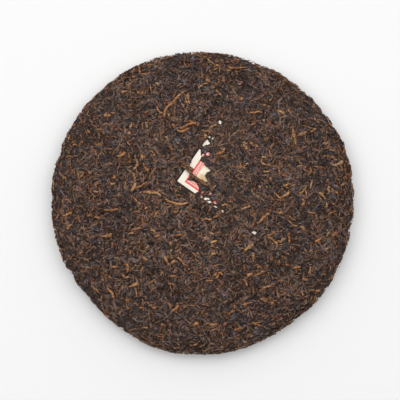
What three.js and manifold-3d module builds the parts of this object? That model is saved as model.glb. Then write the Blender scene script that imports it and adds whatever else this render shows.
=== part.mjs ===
// A pressed cake of ripe pu erh tea, lying on its back with its domed face up.
// Millimetres, +Z up, +Y towards the top of the face. The cake is a core of pressed leaf
// with its largest curled leaves fused on, and a paper ticket lies just under its face.
import * as THREE from "three";
import { mergeVertices } from "three/addons/utils/BufferGeometryUtils.js";
import Module from "manifold-3d";

// The pressed disc, as radii from the middle and heights above the table.
const CAKE_RADIUS = 100;
const CENTRE_HEIGHT = 23;
const FACE_RADIUS = 91;
const FACE_CROWN = 3.4;
const SHOULDER_HEIGHT = 16;
const SHOULDER_DROP = 1.6;
const RIM_HEIGHT = 9;
const BACK_HEIGHT = 0.15;
const BACK_RADIUS = 83;

// The dimple that the knot of the cloth bag leaves in the middle of the back.
const DIMPLE_LIP_RADIUS = 32;
const DIMPLE_WALL_RADIUS = 21;
const DIMPLE_WALL_HEIGHT = 6;
const DIMPLE_HEIGHT = 11;

// The outline isn't a true circle: lobes as [count, height, phase in degrees],
// and worn places as [angle in degrees, depth, half width in degrees].
const OUTLINE_LOBES = [
  [2, 0.3, 97],
  [3, 0.7, -70],
  [4, 0.35, -24],
  [5, 0.35, 147],
  [6, 0.2, -143],
];
const WORN_PLACES = [
  [32, 0.7, 4],
  [70, 0.9, 3],
  [125, 0.6, 4],
  [220, 0.5, 4],
  [268, 0.5, 6],
];

// Leaf relief: the core's own bumps, higher in a band round the rim, and the curled leaves
// that lie on it, each sunk by a random depth. FLAT_REACH is where they stop lying flat.
const CORE_DETAIL = 10;
const BUMP = 0.45;
const RIM_BUMP = 0.7;
const RIM_BAND = [4, 16];
const LEAF_COUNT = 170;
const LEAF_SINK = [0.3, 0.2];
const LEAF_LENGTH = [9, 16];
const LEAF_WIDTH = [1.5, 2.4];
const LEAF_THICKNESS = [1.1, 1.5];
const LEAF_CURL = 2.4;
const LEAF_SIDES = 4;
const LEAF_STATIONS = 4;
const STALK_LENGTH = 24;
const STALK_SHARE = 0.06;
const SITE_WANDER = 0.5;
const TURN_WANDER = 0.1;
const FLAT_REACH = 84;

// The ticket: its corner, the turn of its long edge, and how deep it lies under the face.
const TICKET_CORNER = new THREE.Vector2(-16.5, 14);
const TICKET_TURN = THREE.MathUtils.degToRad(-34.6);
const TICKET_LENGTH = 62;
const TICKET_WIDTH = 49;
const TICKET_THICKNESS = 0.35;
const TICKET_DEPTH = 1.3;
const TICKET_CLEARANCE = 0.3;
const TICKET_CELL = 7;

// Where the leaf over the ticket is missing: outlines along its long and short edge.
const TORN_OPENINGS = [
  [
    [-0.5, -0.5], [13.2, -0.5], [14.9, 3.1], [13.6, 4.7], [10.8, 6], [8.6, 5.9], [5.1, 4.3],
    [4.9, 8], [4.3, 9.5], [-0.5, 10.1],
  ],
  [
    [0.6, 13.1], [4.5, 13], [5, 10.1], [7.6, 10], [8.3, 8.9], [10.6, 8.9], [14.4, 10], [16.2, 11.2],
    [12.6, 13], [12.1, 15.8], [13.9, 18.4], [8.6, 18.5], [7.7, 19.2], [4.4, 19.3], [3.9, 21.8],
    [0.5, 25.7], [-0.5, 25.3], [-0.1, 17], [1.3, 15.4],
  ],
  [[0.2, 29], [0.9, 29.3], [1.5, 31.1], [3.1, 32.6], [0.1, 33.7]],
];
// Pin holes in that leaf, as [along the long edge, along the short edge, radius].
const PIN_HOLES = [
  [0.8, 36.1, 0.7],
  [6.4, 26.4, 1.2],
  [4.2, 23.7, 0.8],
  [19, 0.3, 0.8],
  [21.9, 0.7, 1.2],
  [25.1, 0.7, 1.2],
  [30.3, 0.2, 0.8],
  [17.6, 3.3, 0.7],
  [22.6, 5.6, 0.8],
  [28.3, 2.8, 1],
  [61, 0.8, 1],
  [0.8, 48.2, 0.9],
];
const PIN_HOLE_SIDES = 6;

const GOLDEN_ANGLE = Math.PI * (3 - Math.sqrt(5));
const PROFILE_STEPS = 480;
const SEED = 357;

const wasm = await Module();
wasm.setup();

// Seeded random numbers from 0 to 1, so that the cake is the same each time.
function randomNumbers(seed) {
  let state = seed;
  return () => {
    state = (state + 0x6d2b79f5) | 0;
    let mixed = Math.imul(state ^ (state >>> 15), 1 | state);
    mixed = (mixed + Math.imul(mixed ^ (mixed >>> 7), 61 | mixed)) ^ mixed;
    return ((mixed ^ (mixed >>> 14)) >>> 0) / 4294967296;
  };
}

const { clamp, degToRad, euclideanModulo, lerp, smoothstep } = THREE.MathUtils;

// The cake's cross-section, from the middle of the face over the rim to the top of the dimple.
function crossSection() {
  const path = new THREE.Path();
  path.moveTo(0, CENTRE_HEIGHT);
  path.bezierCurveTo(
    FACE_RADIUS * 0.45, CENTRE_HEIGHT,
    FACE_RADIUS * 0.78, SHOULDER_HEIGHT + FACE_CROWN,
    FACE_RADIUS, SHOULDER_HEIGHT,
  );
  path.bezierCurveTo(
    lerp(FACE_RADIUS, CAKE_RADIUS, 0.6), SHOULDER_HEIGHT - SHOULDER_DROP,
    CAKE_RADIUS, lerp(SHOULDER_HEIGHT, RIM_HEIGHT, 0.5),
    CAKE_RADIUS, RIM_HEIGHT,
  );
  path.bezierCurveTo(
    CAKE_RADIUS, RIM_HEIGHT * 0.5,
    lerp(CAKE_RADIUS, BACK_RADIUS, 0.35), BACK_HEIGHT,
    BACK_RADIUS, BACK_HEIGHT,
  );
  path.lineTo(DIMPLE_LIP_RADIUS, BACK_HEIGHT);
  path.bezierCurveTo(
    lerp(DIMPLE_LIP_RADIUS, DIMPLE_WALL_RADIUS, 0.5), BACK_HEIGHT,
    lerp(DIMPLE_LIP_RADIUS, DIMPLE_WALL_RADIUS, 0.8), DIMPLE_WALL_HEIGHT * 0.6,
    DIMPLE_WALL_RADIUS, DIMPLE_WALL_HEIGHT,
  );
  path.bezierCurveTo(
    DIMPLE_WALL_RADIUS * 0.75, DIMPLE_HEIGHT - 1,
    DIMPLE_WALL_RADIUS * 0.4, DIMPLE_HEIGHT,
    0, DIMPLE_HEIGHT,
  );
  return path.getSpacedPoints(PROFILE_STEPS);
}

const profile = crossSection();
// Length along the cross-section, and share of the cake's whole surface, up to each point.
const lengths = [0];
const shares = [0];
for (let i = 1; i < profile.length; i++) {
  const step = profile[i].distanceTo(profile[i - 1]);
  lengths.push(lengths[i - 1] + step);
  shares.push(shares[i - 1] + step * (profile[i].x + profile[i - 1].x));
}
const wholeLength = lengths.at(-1);
shares.forEach((share, i) => (shares[i] = share / shares.at(-1)));
const rimIndex = profile.reduce((best, p, i) => (p.x > profile[best].x ? i : best), 0);

// The place between first and last, as an index with a fraction, where a rising row of values reaches one.
function placeIn(values, wanted, first = 0, last = values.length - 1) {
  let low = first;
  let high = last;
  while (high - low > 1) {
    const middle = (low + high) >> 1;
    if (values[middle] <= wanted) low = middle;
    else high = middle;
  }
  const span = values[high] - values[low];
  return low + clamp(span ? (wanted - values[low]) / span : 0, 0, 1);
}

function lengthAt(place) {
  const low = Math.min(Math.floor(place), lengths.length - 2);
  return lerp(lengths[low], lengths[low + 1], place - low);
}

// How far along the cross-section a radius is met, on the face or on the back.
const radii = profile.map((p) => p.x);
const negatedRadii = radii.map((r) => -r);
function lengthAtRadius(radius, onFace) {
  return onFace
    ? lengthAt(placeIn(radii, radius, 0, rimIndex))
    : lengthAt(placeIn(negatedRadii, -radius, rimIndex, radii.length - 1));
}

function outlineGrowth(turn) {
  let growth = 0;
  for (const [count, height, phase] of OUTLINE_LOBES) {
    growth += height * Math.cos(count * turn + degToRad(phase));
  }
  for (const [angle, depth, halfWidth] of WORN_PLACES) {
    const past = euclideanModulo(turn - degToRad(angle) + Math.PI, 2 * Math.PI) - Math.PI;
    growth -= depth * Math.exp(-((past / degToRad(halfWidth)) ** 2));
  }
  return growth;
}

// A point of the cake's surface, by length along the cross-section and turn about the axis,
// lifted off it along its normal. The table presses flat what would reach below it.
function surfacePoint(length, turn, lift = 0) {
  const place = placeIn(lengths, clamp(length, 0, wholeLength));
  const low = Math.min(Math.floor(place), profile.length - 2);
  const point = profile[low].clone().lerp(profile[low + 1], place - low);
  const along = profile[low + 1].clone().sub(profile[low]).normalize();
  const radius = point.x + (outlineGrowth(turn) * smoothstep(point.x, 0, CAKE_RADIUS)) - along.y * lift;
  return new THREE.Vector3(
    radius * Math.cos(turn),
    radius * Math.sin(turn),
    Math.max(point.y + along.x * lift, 0),
  );
}

function faceHeight(x, y) {
  return surfacePoint(lengthAtRadius(Math.hypot(x, y), true), Math.atan2(y, x)).z;
}

// A closed geometry as a solid for cutting and joining, and a cut solid as a geometry.
function solidFrom(geometry) {
  const bare = geometry.clone();
  bare.deleteAttribute("normal");
  bare.deleteAttribute("uv");
  const merged = mergeVertices(bare, 1e-4);
  return new wasm.Manifold(
    new wasm.Mesh({
      numProp: 3,
      vertProperties: new Float32Array(merged.attributes.position.array),
      triVerts: new Uint32Array(merged.index.array),
    }),
  );
}

function geometryFrom(solid) {
  const mesh = solid.getMesh();
  const geometry = new THREE.BufferGeometry();
  geometry.setAttribute("position", new THREE.BufferAttribute(mesh.vertProperties, 3));
  geometry.setIndex(new THREE.BufferAttribute(mesh.triVerts, 1));
  geometry.computeVertexNormals();
  return geometry;
}

// Moves every vertex of a geometry by a function of its place.
function reshape(geometry, move) {
  const position = geometry.attributes.position;
  const point = new THREE.Vector3();
  for (let i = 0; i < position.count; i++) {
    move(point.fromBufferAttribute(position, i));
    position.setXYZ(i, point.x, point.y, point.z);
  }
  return geometry;
}

// The core: a ball of even triangles, wrapped on the cross-section so that they stay even,
// with a random bump at each corner.
function makeCore(random) {
  const ball = new THREE.IcosahedronGeometry(1, CORE_DETAIL);
  ball.deleteAttribute("normal");
  ball.deleteAttribute("uv");
  const merged = mergeVertices(ball, 1e-4);
  return solidFrom(
    reshape(merged, (point) => {
      const share = clamp((1 - point.z) / 2, 0, 1);
      const length = lengthAt(placeIn(shares, share));
      const nearRim = smoothstep(Math.abs(length - lengths[rimIndex]), ...RIM_BAND);
      const bump = lerp(RIM_BUMP, BUMP, nearRim) * (2 * random() - 1);
      point.copy(surfacePoint(length, Math.atan2(point.y, point.x), bump));
    }),
  );
}

// A curled leaf: a four-sided spindle along Y, bent sideways into an arc or an S,
// laid on the surface round a site with its long side at an angle.
function makeLeaf(site, shape) {
  const spindle = new THREE.SphereGeometry(1, LEAF_SIDES, shape.stations);
  const halfLength = shape.length / 2;
  const wrapped = reshape(spindle, (point) => {
    const along = point.y * halfLength;
    const bend = shape.curl * (point.y ** 2 - 0.4) + shape.swing * Math.sin(Math.PI * point.y);
    const across = (point.x * shape.width) / 2 + bend;
    const lift = shape.lift + (point.z * shape.thickness) / 2;
    const first = along * Math.cos(site.angle) + across * Math.sin(site.angle);
    const second = along * Math.sin(site.angle) - across * Math.cos(site.angle);
    if (site.flat) {
      const x = site.x + first;
      const y = site.y + second * (site.onFace ? 1 : -1);
      const length = lengthAtRadius(Math.hypot(x, y), site.onFace);
      point.copy(surfacePoint(length, Math.atan2(y, x), lift));
    } else {
      point.copy(surfacePoint(site.length + first, site.turn + second / CAKE_RADIUS, lift));
    }
  });
  return solidFrom(wrapped);
}

// Sites spread evenly over the whole surface, as seeds lie in a sunflower.
function leafSite(i, random) {
  const length = lengthAt(placeIn(shares, (i + 0.5 + SITE_WANDER * (random() - 0.5)) / LEAF_COUNT));
  const turn = i * GOLDEN_ANGLE + TURN_WANDER * (random() - 0.5);
  const place = surfacePoint(length, turn);
  return {
    length,
    turn,
    x: place.x,
    y: place.y,
    onFace: length < lengths[rimIndex],
    flat: Math.hypot(place.x, place.y) < FLAT_REACH,
    angle: 2 * Math.PI * random(),
  };
}

function leafShape(random) {
  const isStalk = random() < STALK_SHARE;
  const size = random();
  return {
    length: isStalk ? STALK_LENGTH : lerp(...LEAF_LENGTH, size),
    width: lerp(...LEAF_WIDTH, isStalk ? 0 : random()),
    thickness: lerp(...LEAF_THICKNESS, random()),
    curl: LEAF_CURL * (2 * random() - 1),
    swing: (LEAF_CURL / 2) * (2 * random() - 1),
    lift: -lerp(...LEAF_SINK, random()),
    stations: isStalk ? LEAF_STATIONS + 2 : LEAF_STATIONS,
  };
}

// The sheet of the ticket, curved as the face is, with a margin added on every side.
function ticketSheet(margin) {
  const length = TICKET_LENGTH + 2 * margin;
  const width = TICKET_WIDTH + 2 * margin;
  const sheet = new THREE.BoxGeometry(
    length, width, TICKET_THICKNESS + 2 * margin,
    Math.round(length / TICKET_CELL), Math.round(width / TICKET_CELL), 1,
  );
  sheet.translate(TICKET_LENGTH / 2, TICKET_WIDTH / 2, -TICKET_THICKNESS / 2);
  return reshape(onTicket(sheet), (point) => {
    point.z += faceHeight(point.x, point.y) - TICKET_DEPTH;
  });
}

// Turns a geometry from the ticket's own edges to its place in the cake, seen from above.
function onTicket(geometry) {
  return geometry.rotateZ(TICKET_TURN).translate(TICKET_CORNER.x, TICKET_CORNER.y, 0);
}

// Everything that is cut out of the leaf for the ticket: its slot and the openings over it.
function ticketCuts() {
  const low = CENTRE_HEIGHT - TICKET_DEPTH - 4 * TICKET_THICKNESS;
  const height = CENTRE_HEIGHT + 4 - low;
  const cuts = [solidFrom(ticketSheet(TICKET_CLEARANCE))];
  for (const outline of TORN_OPENINGS) {
    const shape = new THREE.Shape(outline.map(([x, y]) => new THREE.Vector2(x, y)));
    const opening = new THREE.ExtrudeGeometry(shape, { depth: height, bevelEnabled: false });
    cuts.push(solidFrom(onTicket(opening).translate(0, 0, low)));
  }
  for (const [x, y, radius] of PIN_HOLES) {
    const hole = new THREE.CylinderGeometry(radius, radius, height, PIN_HOLE_SIDES);
    hole.rotateX(Math.PI / 2).translate(x, y, 0);
    cuts.push(solidFrom(onTicket(hole).translate(0, 0, low + height / 2)));
  }
  return cuts.reduce((joined, cut) => joined.add(cut));
}

function makeCake() {
  const random = randomNumbers(SEED);
  let cake = makeCore(random);
  for (let i = 0; i < LEAF_COUNT; i++) {
    cake = cake.add(makeLeaf(leafSite(i, random), leafShape(random)));
  }
  cake = cake.subtract(ticketCuts());
  // A scrap that the cuts leave loose is dropped.
  return cake.decompose().reduce((best, body) => (body.volume() > best.volume() ? body : best));
}

function namedMesh(name, geometry, color, roughness) {
  const mesh = new THREE.Mesh(
    geometry,
    new THREE.MeshStandardMaterial({ color, roughness, metalness: 0, flatShading: true }),
  );
  mesh.name = name;
  return mesh;
}

const teaCake = new THREE.Group();
teaCake.name = "pu_erh_tea_cake";
teaCake.add(
  namedMesh("cake", geometryFrom(makeCake()), 0x4b3a32, 0.75),
  namedMesh("ticket", ticketSheet(0), 0xf0e3cc, 0.9),
);

export default teaCake;
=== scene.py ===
"""A pressed cake of ripe pu erh tea, lying on its back with its domed face up.

The cake is a dark core of pressed leaf with tens of thousands of rolled leaves, buds, stalks and
crumbs pressed into it, and a printed paper ticket that shows through holes torn in the leaf.
"""

import math

import bpy
import numpy as np
from bpy.props import FloatProperty, FloatVectorProperty, IntProperty, PointerProperty
from bpy.types import Operator, Panel, PropertyGroup
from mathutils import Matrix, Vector


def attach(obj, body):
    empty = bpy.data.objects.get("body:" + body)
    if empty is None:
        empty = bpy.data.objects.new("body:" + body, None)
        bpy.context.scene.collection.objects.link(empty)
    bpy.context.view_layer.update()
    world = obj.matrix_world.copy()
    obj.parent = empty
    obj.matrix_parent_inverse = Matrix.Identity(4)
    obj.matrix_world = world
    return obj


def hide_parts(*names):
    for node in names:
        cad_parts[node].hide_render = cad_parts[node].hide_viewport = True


bl_info = {
    "name": "Pressed Tea Cake",
    "version": (1, 0, 0),
    "blender": (4, 5, 0),
    "location": "View3D > Sidebar > Tea Cake",
    "description": "Builds a pressed tea cake leaf by leaf, with the paper ticket in its face",
    "category": "Object",
}

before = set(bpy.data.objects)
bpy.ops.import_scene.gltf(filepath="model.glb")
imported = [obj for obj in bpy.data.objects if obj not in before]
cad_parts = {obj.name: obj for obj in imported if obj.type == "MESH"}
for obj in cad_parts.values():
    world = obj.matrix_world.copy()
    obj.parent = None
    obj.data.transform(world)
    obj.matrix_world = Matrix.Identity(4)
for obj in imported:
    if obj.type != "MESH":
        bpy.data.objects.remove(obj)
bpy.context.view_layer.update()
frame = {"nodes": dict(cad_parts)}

MM = 0.001
SEED = 357

# The photograph's frame: the cake's middle and the size of a pixel at the cake's rim.
PHOTO_PIXELS = 400
PHOTO_MIDDLE = (202.4, 202.6)
PIXEL = 0.6623 * MM
# On the face, which is nearer to the camera, a pixel is smaller.
PIXEL_ON_FACE = 0.655 * MM

# The outline isn't a true circle: lobes as (count, height in mm, phase in degrees),
# and worn places as (angle in degrees, depth in mm, half width in degrees). The last of them
# has a depth below 0, so it stands out.
OUTLINE_LOBES = (
    (0, 0.15, 0), (2, 0.3, 97), (3, 0.7, -70), (4, 0.35, -24), (5, 0.35, 147), (6, 0.2, -143),
    (23, 0.12, 40), (38, 0.13, 200), (61, 0.11, 80),
)
WORN_PLACES = (
    (32, 0.7, 4), (70, 0.6, 3), (125, 0.6, 4), (220, 0.5, 4), (268, 0.9, 8), (298, 0.4, 12), (62, -0.5, 20),
)

# Holes torn in the leaf over the ticket, as outlines in mm along its long and short edge.
TORN_OPENINGS = (
    (
        (-0.5, -0.5), (13.2, -0.5), (14.9, 3.1), (13.6, 4.7), (10.8, 6), (8.6, 5.9), (5.1, 4.3),
        (4.9, 8), (4.3, 9.5), (-0.5, 10.1),
    ),
    (
        (0.6, 13.1), (4.5, 13), (5, 10.1), (7.6, 10), (8.3, 8.9), (10.6, 8.9), (14.4, 10), (16.2, 11.2),
        (12.6, 13), (12.1, 15.8), (13.9, 18.4), (8.6, 18.5), (7.7, 19.2), (4.4, 19.3), (3.9, 21.8),
        (0.5, 25.7), (-0.5, 25.3), (-0.1, 17), (1.3, 15.4),
    ),
    ((0.7, 28.6), (1.5, 30.6), (3.5, 32.1), (2.4, 32.4), (0.9, 33.3), (0.6, 31)),
)
# Pin holes in that leaf, as (along the long edge, along the short edge, half length, half width,
# turn of the length in degrees), the first four in mm.
PIN_HOLES = (
    (1, 35.8, 0.5, 0.4, 0), (3.2, 36.3, 0.4, 0.32, 60), (6.3, 26.1, 1, 0.55, 20),
    (4.3, 23.6, 0.75, 0.42, 70), (18.9, 0.4, 0.5, 0.4, 0), (21.8, 1, 1.05, 0.55, 35),
    (23.4, 2.1, 0.4, 0.35, 0), (25.1, 0.7, 1.1, 0.6, 35), (30, 0.4, 0.9, 0.35, 10),
    (17.6, 3.3, 0.6, 0.35, 35), (22.6, 5.5, 0.5, 0.4, 0), (28.2, 2.8, 0.9, 0.5, -25),
    (35.6, 0.7, 0.65, 0.3, 125), (60.7, 0.5, 1.4, 0.75, 35), (1, 48, 0.95, 0.6, 125),
)
# How far the openings and the pin holes are spread, where the core is sunk under them and where
# leaves are kept off them. A leaf may reach a little over an opening's edge.
CORE_SPREAD = (0.3 * MM, 0.2 * MM)
LEAF_SPREAD = (-0.2 * MM, 0.02 * MM)

# What a leaf's colour is multiplied by: from the coolest leaf to the warmest, and again from the
# greenest to the reddest.
COOL_TINT = (0.81, 0.88, 1.0)
WARM_TINT = (1.0, 0.81, 0.68)
OLIVE_TINT = (0.98, 1.085, 1.03)
RUST_TINT = (1.1, 0.975, 1.03)

# How far off the table the lowest leaves stay.
REST = 0.02 * MM

# Leaves are paler in the middle of the face, and warmer at the rim, where their tone is also lowered as
# painted shade: by how much of their range, and between which distances from the axis each change comes in.
PALE_MIDDLE, PALE_SPAN = 0.16, (60 * MM, 22 * MM)
PAINTED_RIM_SHADE, WARM_RIM, RIM_SPAN = -0.05, 0.3, (95 * MM, 99 * MM)

# Inside this radius a leaf's own axes are X and Y, and past it they run down and along the rim.
FLAT_REACH = 84 * MM

# Shares of the leaves that lie on the face and on the cake's edge. The rest lie on its back. The
# edge reaches from one radius on the face, over the rim, to another on the back.
FACE_SHARE = 0.56
EDGE_SHARE = 0.19
EDGE_ON_FACE = 94 * MM
EDGE_ON_BACK = 88 * MM
# Two steps whose multiples, less their whole parts, fill a square evenly.
EVEN_STEPS = (0.7548776662, 0.5698402910)
# How far a leaf's place strays at random.
WANDER = 0.6 * MM
# How high leaves may stand over the skin, at the rim and at a distance from it, and what share of
# their height past that is left by the press.
PRESSED_LEVEL = (0.45 * MM, 0.12 * MM)
PRESSED_FROM_RIM = 14 * MM
PRESSED_REST = 0.3

# Noise on the leaves: scales for each metre, how much a leaf's length counts in its strands, which
# draws them out, and how far apart two leaves' strands are taken.
PATCH_SCALE = 60
STRAND_SCALE = 1800
STRAND_STRETCH = 0.28
STRANDS_APART = 7 * MM
# A leaf's warmth times this, less its whole part, is a second number that tells how red it is.
HUE_DIGITS = 37
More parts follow.
